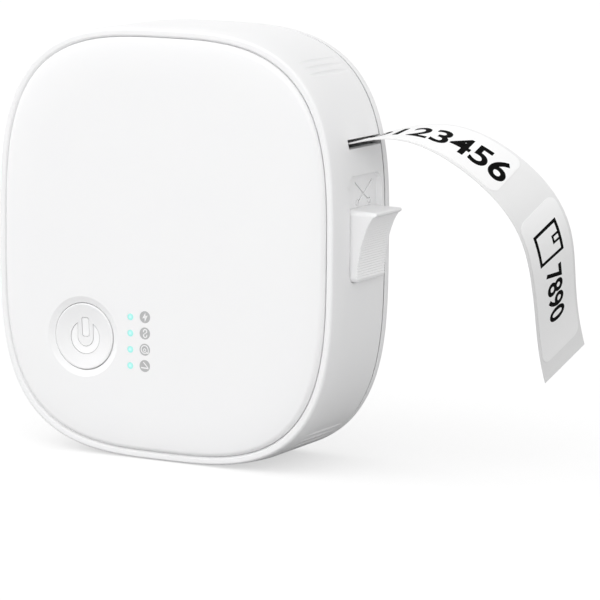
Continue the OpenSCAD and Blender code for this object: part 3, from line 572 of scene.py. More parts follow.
# the power symbol, a ring open at the top with an upright bar in the gap, smaller all round by margin, and
# between two depths below the dish
def symbolShape(margin, top, bottom):
    x0, z0 = panel["buttonAt"]
    arcZ = z0 - button["arcDrop"]
    gap = button["gap"] / 2 + margin
    outer, inner = button["symbolOuter"] - margin, button["symbolInner"] + margin
    shape = solid("symbol", addRod, (x0, -16, arcZ), (x0, -12, arcZ), outer, 96)
    combine(shape, solid("symbolHole", addRod, (x0, -17, arcZ), (x0, -11, arcZ), inner, 96))
    combine(shape, solid("symbolGap", addBox, (x0 - gap, -17, arcZ), (x0 + gap, -11, arcZ + 6)))
    bm = bmesh.new()
    middle = z0 + button["barMiddle"]
    halfBar, halfLength = button["bar"] / 2 - margin, button["barLength"] / 2 - margin
    addBox(bm, (x0 - halfBar, -16, middle - halfLength), (x0 + halfBar, -12, middle + halfLength))
    upright = [e for e in bm.edges if abs(e.verts[0].co.y - e.verts[1].co.y) > 1]
    roundEdges(bm, upright, button["barCorner"], 6)
    combine(shape, roughPiece("symbolBar", bm), "UNION")
    radii = [button["layerRadius"] * k / 14 for k in range(15)]
    layer = [(r, dishAt(r) + top) for r in radii] + [(r, dishAt(r) + bottom) for r in reversed(radii)]
    combine(shape, solid("symbolLayer", addLathe, layer, panel["buttonAt"], 96), "INTERSECT")
    return shape


combine(powerButton, symbolShape(0, -1, button["symbolDepth"]))
finishPiece(powerButton, [buttonAbs], "button", ["power_button"], sharpAngle=30)
# an inset of the same plastic, its colour painted lighter as painted light, fills the symbol nearly to the
# dish, with a fine open line round it
inlay = symbolShape(button["inlayGap"], button["inlayDrop"], button["symbolDepth"] + 0.1)
finishPiece(inlay, [symbolAbsPaintedLight], "button", sharpAngle=30)
print("power button finished")


lever = {
    "y": (-6.3, 7.4), "z": (42.8, 58.6), "baseX": 41.75, "foot": 1.62, "footZ": 0.8,
    # the thumb slope: an arc of the first radius until it leans 23 degrees, then one of the second
    "arcs": (29.0, 9.0), "lean": 23.0, "slope": 14.5, "ribs": 25, "ribDepth": 0.15, "ribLand": 0.76,
    "edge": 0.16, "taper": 0.2, "neck": ((39.5, -0.5, 45), (42.1, 4.5, 49)),
    # the outline's corners, seen from the side: far top, near top, near bottom, far bottom
    "corners": (2.4, 1.2, 1.2, 1.2),
}
wall = caseShape["halfWidth"]


# points up the thumb slope as (x, z, its lean there)
def leverSlope():
    # each rib leans back as it rises and ends in a small step
    points, rib = [], ((0, 0), (lever["ribLand"], 1))
    per = len(rib)
    first, second = lever["arcs"]
    lean = math.radians(lever["lean"])
    for i in range(lever["ribs"] * per + 1):
        s = lever["slope"] * (i // per + rib[i % per][0]) / lever["ribs"]
        a = s / first if s < first * lean else lean + (s - first * lean) / second
        b = min(a, lean)
        x = wall + lever["foot"] + first * (1 - math.cos(b)) + second * (math.cos(b) - math.cos(a))
        z = lever["z"][0] + lever["footZ"] + first * math.sin(b) + second * (math.sin(a) - math.sin(b))
        depth = lever["ribDepth"] * rib[i % per][1]
        points.append((x - depth * math.cos(a), z + depth * math.sin(a), a))
    return points


z0, z1 = lever["z"]
# x, z and the way in which a side edge pulls the point back: along x, along z
profile = [(lever["baseX"], z1, 0, 1), (lever["baseX"], z0, 0, -1), (wall + 0.9, z0, 0.3, -1),
           (wall + 1.25, z0 + 0.06, 0.7, -0.7), (wall + 1.48, z0 + 0.28, 1, -0.2)]
profile += [(x, z, math.cos(a), -math.sin(a)) for x, z, a in leverSlope()]
profile += [(wall + 6.0, z1 - 0.88, 1, -0.4), (wall + 6.09, z1 - 0.62, 1, 0),
            (wall + 6.08, z1 - 0.42, 0.8, 0.6), (wall + 5.9, z1 - 0.26, 0.3, 1),
            (wall + 5.4, z1 - 0.18, 0, 1)]


# the profile pulled in near a side face, so that the long edges come out round; the far side tapers
def leverStation(distance, y, taper=0):
    edge = lever["edge"]
    pull = edge - math.sqrt(max(edge ** 2 - (edge - distance) ** 2, 0)) if distance < edge else 0.0
    return lambda i: Vector((profile[i][0] - pull * profile[i][2], y - taper * max(profile[i][0] - wall, 0),
                             profile[i][1] - pull * profile[i][3]))


distances = [0.0, 0.02, 0.05, 0.1, 0.16]
stations = [leverStation(d, lever["y"][0] + d) for d in distances]
stations += [leverStation(d, lever["y"][1] - d, lever["taper"]) for d in reversed(distances)]
cutterLever = solid("cutterLever", loft, len(profile), stations)
middleY, middleZ = sum(lever["y"]) / 2, sum(lever["z"]) / 2
width, height = lever["y"][1] - lever["y"][0], lever["z"][1] - lever["z"][0]
sides = [roundRectRing(width + 0.01, height + 0.01, lever["corners"],
                       lambda u, w, x=x: Vector((x, middleY + u, middleZ + w))) for x in (30, 60)]
combine(cutterLever, solid("leverOutline", loft, 48, sides), "INTERSECT")
combine(cutterLever, solid("neck", addBox, *lever["neck"]), "UNION")
finishPiece(cutterLever, [leverAbsPaintedLight], "cutter", ["cutter_lever"], sharpAngle=20)
print("cutter lever finished")


# Clear polycarbonate with diffuser, lit from behind: white at the middle, pale cyan towards its edge
lightLook = {"lens": "#86c4c0", "middle": "#e6f8f8", "edge": "#9ae0d8", "glow": 0.5, "fadeMm": (0.1, 0.5)}
lightLens, shader, coords = startMaterial("polycarbonateLitCyan", {
    "IOR": 1.58, "Roughness": 0.25, "Base Color": srgb(lightLook["lens"]),
    "Emission Strength": lightLook["glow"]})
parts = addNode(lightLens, "ShaderNodeSeparateXYZ", links={"Vector": coords})
halfPitch = panel["pitch"] / 2
across = addMath(lightLens, "SUBTRACT", parts.outputs["X"], panel["lightX"] * metresPerMm)
lifted = addMath(lightLens, "SUBTRACT", parts.outputs["Z"], (lightHeights[-1] - halfPitch) * metresPerMm)
wrapped = addMath(lightLens, "PINGPONG", lifted.outputs[0], halfPitch * metresPerMm)
upright = addMath(lightLens, "SUBTRACT", wrapped.outputs[0], halfPitch * metresPerMm)
place = addNode(lightLens, "ShaderNodeCombineXYZ", links={"X": across.outputs[0], "Z": upright.outputs[0]})
length = addNode(lightLens, "ShaderNodeVectorMath", {"operation": "LENGTH"}, {0: place.outputs[0]})
low, high = lightLook["fadeMm"]
share = addNode(lightLens, "ShaderNodeMapRange", {
    "From Min": low * metresPerMm, "From Max": high * metresPerMm}, {"Value": length.outputs["Value"]})
glow = addBlend(lightLens, lightLook["middle"], lightLook["edge"], share.outputs["Result"])
wire(lightLens, shader, {"Emission Color": glow})

guide = {
    # each window's outline as a share of its radius and a depth, and the bar that joins the windows
    "window": [(0, -14.99), (0.45, -14.985), (0.78, -14.97), (0.92, -14.94), (0.99, -14.88), (1, -14.8),
               (1, -12.0), (0, -12.0)],
    "halfBar": 1.3, "barY": (-12.7, -11.1), "barEnd": 2, "barEdge": 0.25,
}
x = panel["lightX"]
bm = bmesh.new()
for z in lightHeights:
    window = bmesh.new()
    addLathe(window, [(panel["lightRadius"] * share, y) for share, y in guide["window"]], (x, z), 48)
    addShell(bm, window)
lightWindows = roughPiece("lightWindows", bm)
bm = bmesh.new()
addBox(bm, (x - guide["halfBar"], guide["barY"][0], lightHeights[3] - guide["barEnd"]),
       (x + guide["halfBar"], guide["barY"][1], lightHeights[0] + guide["barEnd"]))
roundEdges(bm, list(bm.edges), guide["barEdge"], 3)
combine(lightWindows, roughPiece("guideBar", bm), "UNION")
finishPiece(lightWindows, [lightLens], "case", ["light_guide"])

# Pad-printed inks: a thin even coat, a touch glossier than the plastic, with a faint screen texture
greyInk = grainedMaterial("inkGrey", {
    "colour": "#b9b9ba", "tone": "#b6b6b7", "ior": 1.5, "roughness": (0.3, 0.42), "bump": 0.1,
    "grainMm": 0.2, "cloudMm": 4})
whiteInk = grainedMaterial("inkWhite", {
    "colour": "#f0f0f0", "tone": "#ededee", "ior": 1.5, "roughness": (0.3, 0.42), "bump": 0.1,
    "grainMm": 0.2, "cloudMm": 4})

iconHeights = [z + panel["iconRise"] for z in lightHeights]
bm = bmesh.new()
for z in iconHeights:
    addRod(bm, (iconX, -14.985, z), (iconX, -14.86, z), panel["iconRadius"] - 0.01, 64)
finishPiece(roughPiece("iconDiscs", bm), [greyInk], "case", ["status_icons"])

signs = {"line": 0.26, "frontY": -15.0, "backY": -14.97}


# a printed line through points about a disc's middle, level per level lower where lines of one sign cross
def printLine(bm, points, z, wide=None, closed=False, level=0):
    half = (wide or signs["line"]) / 2
    front = signs["frontY"] + 0.004 * level
    points = [Vector(p) for p in points]

    def ring(k):
        before = points[k - 1] if k or closed else points[k]
        after = points[(k + 1) % len(points)] if k + 1 < len(points) or closed else points[k]
        along = (after - before).normalized()
        side = Vector((-along.y, along.x)) * half
        ends = [(points[k] + side, front), (points[k] - side, front), (points[k] - side, signs["backY"]),
                (points[k] + side, signs["backY"])]
        return lambda i: Vector((iconX + ends[i][0].x, ends[i][1], z + ends[i][0].y))
    line = bmesh.new()
    loft(line, 4, [ring(k) for k in range(len(points))], closed=closed)
    addShell(bm, line)


def arcPoints(cx, cz, radius, start, end, count):
    turns = [math.radians(start + (end - start) * i / (count - 1)) for i in range(count)]
    return [(cx + radius * math.cos(a), cz + radius * math.sin(a)) for a in turns]


bm = bmesh.new()
# charging: a lightning bolt
bolt = [(0.12, 1.05), (-0.7, -0.34), (-0.1, -0.2), (0.0, -1.06), (0.74, 0.44), (0.14, 0.26)]
corners = [bm.verts.new((iconX + u, signs["backY"], iconHeights[0] + w)) for u, w in bolt]
raised = bmesh.ops.extrude_face_region(bm, geom=[bm.faces.new(corners)])["geom"]
bmesh.ops.translate(bm, vec=(0, signs["frontY"] - signs["backY"], 0),
                    verts=[g for g in raised if isinstance(g, bmesh.types.BMVert)])
bmesh.ops.recalc_face_normals(bm, faces=bm.faces)
# connected: two hooked links of a chain
printLine(bm, arcPoints(0.06, 0.46, 0.42, -48, 208, 20), iconHeights[1])
printLine(bm, arcPoints(0.08, -0.46, 0.42, 132, 388, 20), iconHeights[1])
printLine(bm, [(-0.1, -0.16), (0.24, 0.18)], iconHeights[1], 0.22)
# paper: a roll with its end hanging
printLine(bm, arcPoints(-0.05, 0.06, 0.88, 20, 320, 30), iconHeights[2])
printLine(bm, arcPoints(-0.05, -0.1, 0.32, 0, 345, 18), iconHeights[2], 0.2, closed=True)
printLine(bm, [(0.8, 0.34), (0.9, -0.1), (0.88, -0.74), (0.5, -0.82)], iconHeights[2], 0.24, level=1)
# cover: a lid standing open
printLine(bm, [(-0.92, -0.42), (0.95, -0.5)], iconHeights[3], 0.32)
printLine(bm, [(0.8, -0.32), (-0.38, 0.86)], iconHeights[3], 0.26, level=1)
finishPiece(roughPiece("iconSigns", bm), [whiteInk], "case")
print("lights and icons finished")


strip = {
    "cut": (38.9, 2.55, 72.5), "angle": 11.5, "length": 91.5, "step": 1.5, "parts": 6,
    # distance from the cut in mm, then bend and twist in degrees over 10 mm
    "bends": [(0, -23, -6), (8, 17, -4), (20, 23, -11), (35, 15, -5), (50, 30, -8), (65, 5, 2), (80, -6, 0),
              (110, -11, -1)],
    "width": 15.0, "liner": 0.15, "label": 0.1, "margin": 0.8, "corner": 2.2,
    "labels": ((0.0, 39.0), (48.0, 87.0)), "ink": 0.012,
}


def bendAt(s, column):
    for low, high in zip(strip["bends"], strip["bends"][1:]):
        if s <= high[0]:
            return (low[column] + (high[column] - low[column]) * (s - low[0]) / (high[0] - low[0])) / 10
    return strip["bends"][-1][column] / 10


# [point, along, up, across] at every step / parts of the strip
def stripFrames():
    a = math.radians(strip["angle"])
    p, t, n, w = (Vector(strip["cut"]), Vector((math.cos(a), 0, math.sin(a))),
                  Vector((-math.sin(a), 0, math.cos(a))), Vector((0, 1, 0)))
    frames = [(p, t, n, w)]
    piece = strip["step"] / strip["parts"]
    for i in range(round(strip["length"] / strip["step"])):
        middle = (i + 0.5) * strip["step"]
        bend = math.radians(bendAt(middle, 1)) * piece
        twist = math.radians(bendAt(middle, 2)) * piece
        for _ in range(strip["parts"]):
            t2 = t * math.cos(bend) - n * math.sin(bend)
            n2 = n * math.cos(bend) + t * math.sin(bend)
            p = p + (t + t2) / 2 * piece
            n, w = n2 * math.cos(twist) + w * math.sin(twist), w * math.cos(twist) - n2 * math.sin(twist)
            t = t2
            frames.append((p, t, n, w))
    return frames


frames = stripFrames()
framesPerMm = strip["parts"] / strip["step"]


def onStrip(s, across, up):
    at = min(max(s * framesPerMm, 0), len(frames) - 1.001)
    i, f = int(at), at - int(at)
    p, t, n, w = [frames[i][k].lerp(frames[i + 1][k], f) for k in range(4)]
    return p + w * across + n * up


# a thin layer through (s, half width) stations, in parts across so that it follows the twist
def stripLayer(bm, stations, low, high, parts=12):
    def ring(s, half):
        row = [half * (2 * k / parts - 1) for k in range(parts + 1)]
        around = [(u, low) for u in row] + [(u, high) for u in reversed(row)]
        return lambda i: onStrip(s, *around[i])
    return loft(bm, 2 * (parts + 1), [ring(*st) for st in stations])


def cornerPull(distance):
    r = strip["corner"]
    return 0.0 if distance >= r else r - math.sqrt(max(r * r - (r - distance) ** 2, 0))


stations = [(i / 2, strip["width"] / 2) for i in range(int(strip["length"] * 2) + 1)]
printedLiner = solid("printedLiner", stripLayer, stations, -strip["liner"] / 2, strip["liner"] / 2)

labelHalf = strip["width"] / 2 - strip["margin"]
cornerSteps = [0.0, 0.04, 0.12, 0.25, 0.45, 0.7, 1.0, 1.35, 1.75, 2.2]
bm = bmesh.new()
for start, end in strip["labels"]:
    places = [start + d for d in cornerSteps] if start > 0 else [0.0, 1.0]
    places += [start + 2.5 + 0.5 * i for i in range(int((end - start - 5) * 2) + 1)]
    places += [end - d for d in reversed(cornerSteps)]
    pulls = [cornerPull(end - s) + (cornerPull(s - start) if start > 0 else 0) for s in places]
    stations = [(s, labelHalf - pull) for s, pull in zip(places, pulls)]
    stripLayer(bm, stations, strip["liner"] / 2 + 0.002, strip["liner"] / 2 + strip["label"])
printedLabels = roughPiece("printedLabels", bm)
print("strip and labels shaped")


# paper: two close tones in soft clouds, long fibres under the coating that barely lift it
def sheetPaper(name, look):
    material, shader, coords = startMaterial(name, {"IOR": 1.5})
    cloud = addNoise(material, coords, look["cloudMm"], Detail=4.0, Roughness=0.65)
    fibre = addNoise(material, coords, look["fibreMm"], Detail=5.0, Roughness=0.7, Distortion=1.5)
    tone = addBlend(material, look["colour"], look["tone"], cloud.outputs["Fac"])
    gloss = addRange(material, fibre.outputs["Fac"], *look["roughness"])
    bump = addBump(material, fibre.outputs["Fac"], 0.12, 0.01)
    wire(material, shader, {"Base Color": tone, "Roughness": gloss, "Normal": bump})
    return material


# Glazed backing paper: greyer than the labels, smooth, with a faint fibre cloud
linerPaper = sheetPaper("glassinePaper", {
    "colour": "#e9e9e9", "tone": "#ececec", "roughness": (0.35, 0.5), "fibreMm": 0.8, "cloudMm": 3.0})
# Coated label paper: nearly white, with finer fibres
labelPaper = sheetPaper("thermalPaper", {
    "colour": "#f8f8f8", "tone": "#f6f6f6", "roughness": (0.4, 0.55), "fibreMm": 0.5, "cloudMm": 4.0})
finishPiece(printedLiner, [linerPaper], "strip", ["printed_strip"])
finishPiece(printedLabels, [labelPaper], "strip", ["strip_labels"])

# Heat-developed thermal print: a soft black in the paper's coating, no gloss of its own
thermalBlack = grainedMaterial("thermalPrintBlack", {
    "colour": "#020202", "tone": "#060606", "ior": 1.15, "roughness": (0.7, 0.8), "bump": 0.05,
    "grainMm": 0.3, "cloudMm": 0.4})

prints = [
    {"text": "0123456", "height": 6.4, "start": 4.6, "across": -3.1, "weight": 0.19, "stretch": 1.05},
    {"text": "7890", "height": 5.0, "start": 63.2, "across": -2.5, "weight": 0.16, "stretch": 1.05},
]
digitShare = 0.69   # how tall the font's digits are, as a share of its size


# cuts a flat print along and across, so that it bends with the paper
def sliceUp(bm, step=0.6):
    for axis in ((1, 0, 0), (0, 1, 0)):
        places = [Vector(axis).dot(v.co) for v in bm.verts]
        for k in range(math.ceil(min(places) / step), math.floor(max(places) / step) + 1):
            bmesh.ops.bisect_plane(bm, geom=list(bm.verts) + list(bm.edges) + list(bm.faces), dist=1e-5,
                                   plane_co=Vector(axis) * k * step, plane_no=axis)


# plain digits, laid along the strip
def printOn(bm, look):
    curve = bpy.data.curves.new("digits", "FONT")
    curve.body = look["text"]
    curve.size = look["height"] / digitShare
    curve.offset = look["weight"]
    curve.resolution_u = 6
    obj = newObject("digits", curve)
    bpy.context.view_layer.update()
    mesh = bpy.data.meshes.new_from_object(obj.evaluated_get(bpy.context.evaluated_depsgraph_get()))
    bpy.data.objects.remove(obj)
    bpy.data.curves.remove(curve)
    flat = bmesh.new()
    flat.from_mesh(mesh)
    bpy.data.meshes.remove(mesh)
    bmesh.ops.remove_doubles(flat, verts=flat.verts, dist=1e-4)
    sliceUp(flat)
    top = strip["liner"] / 2 + strip["label"]
    out = bmesh.ops.extrude_face_region(flat, geom=list(flat.faces))["geom"]
    raised = {g for g in out if isinstance(g, bmesh.types.BMVert)}
    for v in flat.verts:
        lift = top + (strip["ink"] if v in raised else -0.02)
        v.co = onStrip(look["start"] + v.co.x * look["stretch"], look["across"] + v.co.y, lift)
    bmesh.ops.recalc_face_normals(flat, faces=flat.faces)
    addShell(bm, flat)


bm = bmesh.new()
for look in prints:
    printOn(bm, look)
# a plain parcel outline before the second number: its four sides, and the tape down from the top
parcel = {"start": 52.5, "size": 8.2, "line": 0.8, "tape": (3.0, 5.2), "tapeEnd": 1.2, "tapeLine": 0.6}
size, line = parcel["size"], parcel["line"]
half, inner = size / 2, size / 2 - line
left, right = parcel["tape"]
foot, thin = parcel["tapeEnd"], parcel["tapeLine"]
for low, high in (((0, -half), (size, -inner)), ((0, inner), (size, half)), ((0, -inner), (line, inner)),
                  ((size - line, -inner), (size, inner)), ((left, foot), (left + thin, inner)),
                  ((right - thin, foot), (right, inner)), ((left + thin, foot), (right - thin, foot + thin))):
    flat = bmesh.new()
    addBox(flat, (low[0], low[1], -0.02), (high[0], high[1], strip["ink"]))
    sliceUp(flat)
    for v in flat.verts:
        v.co = onStrip(parcel["start"] + v.co.x, v.co.y, strip["liner"] / 2 + strip["label"] + v.co.z)
    addShell(bm, flat)
finishPiece(roughPiece("labelPrint", bm), [thermalBlack], "strip")
print("labels printed")


# Oiled spring wire: darker than the sheet, drawn lines round the coil
springSteel = grainedMaterial("steelSpringWire", {
    "colour": "#8f9397", "tone": "#83878c", "metallic": 1.0, "roughness": (0.3, 0.42), "bump": 0.15,
    "grainMm": 0.25, "cloudMm": 2})

spring = {"middle": (34.8, 2.0), "radius": 1.0, "wire": 0.18, "turns": 8, "ends": (49.5, 61.0), "steps": 24,
          "travel": 7.0}
bm = bmesh.new()
x, y = spring["middle"]
low, high = spring["ends"][0] + spring["wire"], spring["ends"][1] - spring["wire"]
ring = bmesh.ops.create_circle(
    bm, cap_ends=False, segments=10, radius=spring["wire"],
    matrix=Matrix.Translation((x + spring["radius"], y, low)) @ Matrix.Rotation(math.pi / 2, 4, "X"))["verts"]
steps = spring["turns"] * spring["steps"]
bmesh.ops.spin(bm, geom=ring + list(bm.edges), cent=(x, y, 0), axis=(0, 0, 1),
               dvec=(0, 0, (high - low) / steps), angle=2 * math.pi * spring["turns"], steps=steps)
bmesh.ops.holes_fill(bm, edges=[e for e in bm.edges if e.is_boundary])
bmesh.ops.recalc_face_normals(bm, faces=bm.faces)
cutterSpring = roughPiece("cutterSpring", bm)
finishPiece(cutterSpring, [springSteel], "case", ["cutter_spring"], sharpAngle=50)
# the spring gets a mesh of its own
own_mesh(cutterSpring)
print("cutter spring finished")


# open-celled foam: small pores all over, with painted shade dark in their middles, drawn coarser than real so
# that they show
def foamMaterial(name, look):
    material, shader, coords = startMaterial(name, {"IOR": 1.4, "Roughness": 0.95})
    cells = addNode(material, "ShaderNodeTexVoronoi", {"Scale": 1 / (look["poreMm"] * metresPerMm)},
                    {"Vector": coords})
    tone = addBlend(material, look["poreShade"], look["colour"], cells.outputs["Distance"])
    bump = addBump(material, cells.outputs["Distance"], 0.6, 0.15)
    wire(material, shader, {"Base Color": tone, "Normal": bump})
    return material


padFoam = foamMaterial("foamPolyurethaneGrey", {"poreMm": 0.6, "poreShade": "#8a8a8a", "colour": "#bcbcbc"})


# green solder mask over glass-fibre board: blocks of copper show as a lighter green under it, with their
# lines drawn wide enough to see
def boardMaterial(name, look):
    material, shader, coords = startMaterial(name, {"IOR": 1.55, "Roughness": 0.3})
    # the board stands upright, so its tracks run across X and Z
    parts = addNode(material, "ShaderNodeSeparateXYZ", links={"Vector": coords})
    flat = addNode(material, "ShaderNodeCombineXYZ", links={"X": parts.outputs["X"], "Y": parts.outputs["Z"]})
    tracks = addNode(material, "ShaderNodeTexBrick", {
        "Color1": srgb(look["mask"]), "Color2": srgb(look["copper"]), "Mortar": srgb(look["gap"]),
        "Scale": 1 / (look["trackMm"] * metresPerMm), "Mortar Size": 0.06, "Brick Width": 3.0,
        "Row Height": 0.8}, {"Vector": flat.outputs[0]})
    bump = addBump(material, tracks.outputs["Fac"], 0.3, 0.03)
    wire(material, shader, {"Base Color": tracks.outputs["Color"], "Normal": bump})
    return material


boardGreen = boardMaterial("solderMaskGreen", {
    "mask": "#1f5e3a", "copper": "#2a7349", "gap": "#184e2f", "trackMm": 1.2})


# paper wound round a middle: turns show as fine rings on the roll's faces, coarser than the real 0.25 mm
def woundPaper(name, look):
    material, shader, coords = startMaterial(name, {"IOR": 1.5, "Roughness": 0.6})
    moved = addNode(material, "ShaderNodeVectorMath", {"operation": "SUBTRACT", 1: [
        c * metresPerMm for c in (look["middle"][0], 0, look["middle"][1])]}, {0: coords})
    flat = addNode(material, "ShaderNodeVectorMath", {"operation": "MULTIPLY", 1: (1, 0, 1)},
                   {0: moved.outputs[0]})
    radius = addNode(material, "ShaderNodeVectorMath", {"operation": "LENGTH"}, {0: flat.outputs[0]})
    turns = addMath(material, "MULTIPLY", radius.outputs["Value"],
                    2 * math.pi / (look["turnMm"] * metresPerMm))
    wave = addNode(material, "ShaderNodeMath", {"operation": "SINE"}, {0: turns.outputs[0]})
    shade = addNode(material, "ShaderNodeMapRange", {"From Min": -1.0, "From Max": 1.0},
                    {"Value": wave.outputs[0]})
    wire(material, shader, {"Base Color": addBlend(material, look["edge"], look["colour"],
                                                   shade.outputs["Result"])})
    return material


rollPaper = woundPaper("thermalPaperWound", {
    "middle": (-7.655, 40.501), "turnMm": 0.5, "edge": "#dcdcda", "colour": "#f4f4f2"})

# each plain material of the inside, its look, and the nodes that wear it
insideLooks = [
    # Turned or drawn steel, bright zinc on the screws: fine marks along the part and a soft sheen
    ("steelTurned",
     {"colour": "#c2c4c6", "tone": "#b6b8bb", "metallic": 1.0, "roughness": (0.26, 0.4), "bump": 0.2,
      "grainMm": 0.4, "cloudMm": 3, "stretch": (6, 1, 1)},
     ["hinge_pin", "idler_pin", "head_pivot_pin", "platen_shaft", "motor_shaft", "case_screws",
      "board_screws", "motor_screws", "bracket_screws", "blade_screws"]),
    # Rolled sheet steel, tin or nickel plated: faint rolling lines and a slightly uneven gloss
    ("steelSheetPlated",
     {"colour": "#c9cbcd", "tone": "#bfc1c4", "metallic": 1.0, "roughness": (0.22, 0.38), "bump": 0.15,
      "grainMm": 0.5, "cloudMm": 5, "stretch": (1, 5, 1)},
     ["gear_bracket", "cutter_anvil", "cutter_blade", "usb_socket", "stepper_motor", "power_switch"]),
    # Turned brass pinion: warm, with fine tool marks
    ("brassTurned",
     {"colour": "#d0ab55", "tone": "#c29c48", "metallic": 1.0, "roughness": (0.25, 0.36), "bump": 0.15,
      "grainMm": 0.3, "cloudMm": 2}, ["motor_pinion"]),
    # Aluminium heat sink as extruded and anodised clear: satin, with die lines along its length
    ("aluminiumExtruded",
     {"colour": "#b9bcbf", "tone": "#b0b3b7", "metallic": 1.0, "roughness": (0.38, 0.5), "bump": 0.25,
      "grainMm": 0.4, "cloudMm": 4, "stretch": (8, 1, 8)}, ["head_mount"]),
    # Laminated pouch foil of the battery: dull silver nylon over aluminium, slightly wrinkled
    ("foilPouchLaminate",
     {"colour": "#b9bcc2", "tone": "#aeb1b8", "metallic": 0.7, "roughness": (0.35, 0.5), "bump": 0.9,
      "grainMm": 2.5, "cloudMm": 9, "detail": 2.0}, ["battery"]),
    # Grey ABS of the inner mouldings, coarser from a cheaper tool
    ("absMouldedGrey",
     {"colour": "#d9dadb", "tone": "#d4d5d7", "ior": 1.5, "roughness": (0.45, 0.58), "bump": 0.3,
      "grainMm": 0.5, "cloudMm": 8}, ["chassis", "cutter_carriage", "roll_hub", "switch_plunger"]),
    # Acetal of gears and bushes: waxy, faintly yellow white with a soft highlight
    ("acetalMoulded",
     {"colour": "#efefe6", "tone": "#e9e8dc", "ior": 1.48, "roughness": (0.28, 0.4), "bump": 0.1,
      "grainMm": 0.4, "cloudMm": 4}, ["idler_gear", "platen_gear", "platen_bushes"]),
    # Glass-filled black plastic of chips, plugs and sensors: matt, with a speckled gloss
    ("polyamideBlack",
     {"colour": "#2a2a2d", "tone": "#232326", "ior": 1.53, "roughness": (0.45, 0.62), "bump": 0.3,
      "grainMm": 0.25, "cloudMm": 2}, ["board_chips", "battery_lead", "gap_sensor", "cover_switch"]),
    # Clear epoxy over the phosphor of the indicator LEDs: pale yellow and glossy, lit
    ("epoxyLed",
     {"colour": "#f2e9c0", "tone": "#efe3ac", "ior": 1.55, "roughness": (0.12, 0.2), "bump": 0.05,
      "grainMm": 0.3, "cloudMm": 1, "emission": "#c8fff8", "glow": 0.3}, ["status_leds"]),
    # Polyimide ribbon: amber film, smooth, with a slight wave
    ("polyimideRibbon",
     {"colour": "#c8682a", "tone": "#b95d22", "ior": 1.65, "roughness": (0.2, 0.32), "bump": 0.2,
      "grainMm": 0.8, "cloudMm": 3}, ["motor_lead", "head_cable"]),
    # Ground silicone rubber of the roller: matt black-grey with a fine nap
    ("siliconeRubberGround",
     {"colour": "#333436", "tone": "#2c2d2f", "ior": 1.42, "roughness": (0.62, 0.8), "bump": 0.6,
      "grainMm": 0.2, "cloudMm": 3}, ["platen_rubber"]),
    # Glazed alumina of the print head: smooth cream ceramic
    ("aluminaGlazed",
     {"colour": "#e9e4d6", "tone": "#e4dece", "ior": 1.7, "roughness": (0.12, 0.2), "bump": 0.05,
      "grainMm": 0.3, "cloudMm": 4}, ["print_head"]),
    # Kraft board of the roll's core: brown, fibrous and matt
    ("cardboardKraft",
     {"colour": "#cdbd9f", "tone": "#bfae8d", "ior": 1.45, "roughness": (0.75, 0.9), "bump": 0.5,
      "grainMm": 0.5, "cloudMm": 2, "detail": 6.0}, ["roll_core"]),
]
nodeMaterials = [(grainedMaterial(name, look), nodes) for name, look, nodes in insideLooks]
nodeMaterials += [
    (springSteel, ["head_spring"]),
    (padFoam, ["cover_pad"]),
    (boardGreen, ["main_board"]),
    (rollPaper, ["label_roll"]),
    (linerPaper, ["label_web"]),
    (labelPaper, ["web_labels"]),
]
for material, nodes in nodeMaterials:
    for node in nodes:
        mesh = frame["nodes"][node].data
        mesh.materials.clear()
        mesh.materials.append(material)
print("materials for the inside are set")


studio = {
    "floor": 3.0, "floorGlow": 0.58, "floorSeen": "#b0b0b0", "floorBounce": "#b4b4b4",
    "ambient": 0.72, "lampSoftness": 60,
    # the way to each lamp, and its strength
    "lamps": {"upper": ((0, -0.7, 0.7), 0.54), "upperLeft": ((-0.7, -0.2, 0.7), 0.42),
              "left": ((-0.83, -0.5, 0.17), 1.0), "right": ((0.7, -0.7, 0.1), 1.0)},
}
camera = {
    "place": (382.72, -669.30, 156.23), "yaw": 27.966, "pitch": 8.951, "roll": 0.5652, "sensor": 36,
    "focalWidths": 5.7696,   # focal length as a multiple of the picture's width
}

bm = bmesh.new()
bmesh.ops.create_grid(bm, x_segments=1, y_segments=1, size=studio["floor"] / 2)
floor = roughPiece("floor", bm)
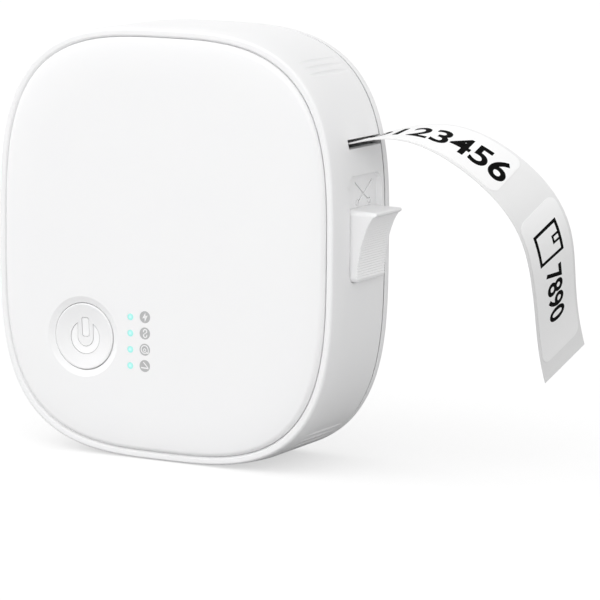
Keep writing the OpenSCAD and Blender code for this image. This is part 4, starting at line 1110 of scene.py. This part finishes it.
# White studio table: to the camera it reads as white with a soft shadow, and it throws back less than it
# shows
floorWhite, shader, coords = startMaterial("tableWhite", {
    "Roughness": 1.0, "Specular IOR Level": 0.0, "Emission Color": (1, 1, 1, 1)})
rays = addNode(floorWhite, "ShaderNodeLightPath")
tone = addBlend(floorWhite, studio["floorBounce"], studio["floorSeen"], rays.outputs["Is Camera Ray"])
glow = addMath(floorWhite, "MULTIPLY", rays.outputs["Is Camera Ray"], studio["floorGlow"])
wire(floorWhite, shader, {"Base Color": tone, "Emission Strength": glow.outputs[0]})
floor.data.materials.append(floorWhite)

# the world is plain white where it is seen, mirrored or seen through, and dimmer where it lights the printer
world = bpy.data.worlds.new("studio")
bpy.context.scene.world = world
world.use_nodes = True
backdrop = world.node_tree.nodes["Background"]
backdrop.inputs["Color"].default_value = (1, 1, 1, 1)
rays = addNode(world, "ShaderNodeLightPath")
seen = addNode(world, "ShaderNodeMath", {"operation": "MAXIMUM"}, {
    0: rays.outputs["Is Camera Ray"], 1: rays.outputs["Is Glossy Ray"]})
seenThrough = addNode(world, "ShaderNodeMath", {"operation": "MAXIMUM"}, {
    0: seen.outputs[0], 1: rays.outputs["Is Transmission Ray"]})
wire(world, backdrop, {"Strength": addRange(world, seenThrough.outputs[0], studio["ambient"], 1.0)})

for name, (direction, strength) in studio["lamps"].items():
    lamp = bpy.data.lights.new(name, "SUN")
    lamp.energy, lamp.angle = strength, math.radians(studio["lampSoftness"])
    newObject(name, lamp).rotation_euler = Vector(direction).to_track_quat("Z", "Y").to_euler()

turn = (Matrix.Rotation(math.radians(camera["yaw"]), 4, "Z")
        @ Matrix.Rotation(math.radians(90 - camera["pitch"]), 4, "X")
        @ Matrix.Rotation(math.radians(camera["roll"]), 4, "Z"))
lens = bpy.data.cameras.new("camera")
lens.sensor_width = camera["sensor"]
lens.lens = camera["focalWidths"] * camera["sensor"]
lens.clip_start, lens.clip_end = 0.01, 20
cameraObject = newObject("camera", lens)
cameraObject.matrix_world = Matrix.Translation(Vector(camera["place"]) * metresPerMm) @ turn
bpy.context.scene.camera = cameraObject
bpy.context.scene.view_settings.view_transform = "Standard"
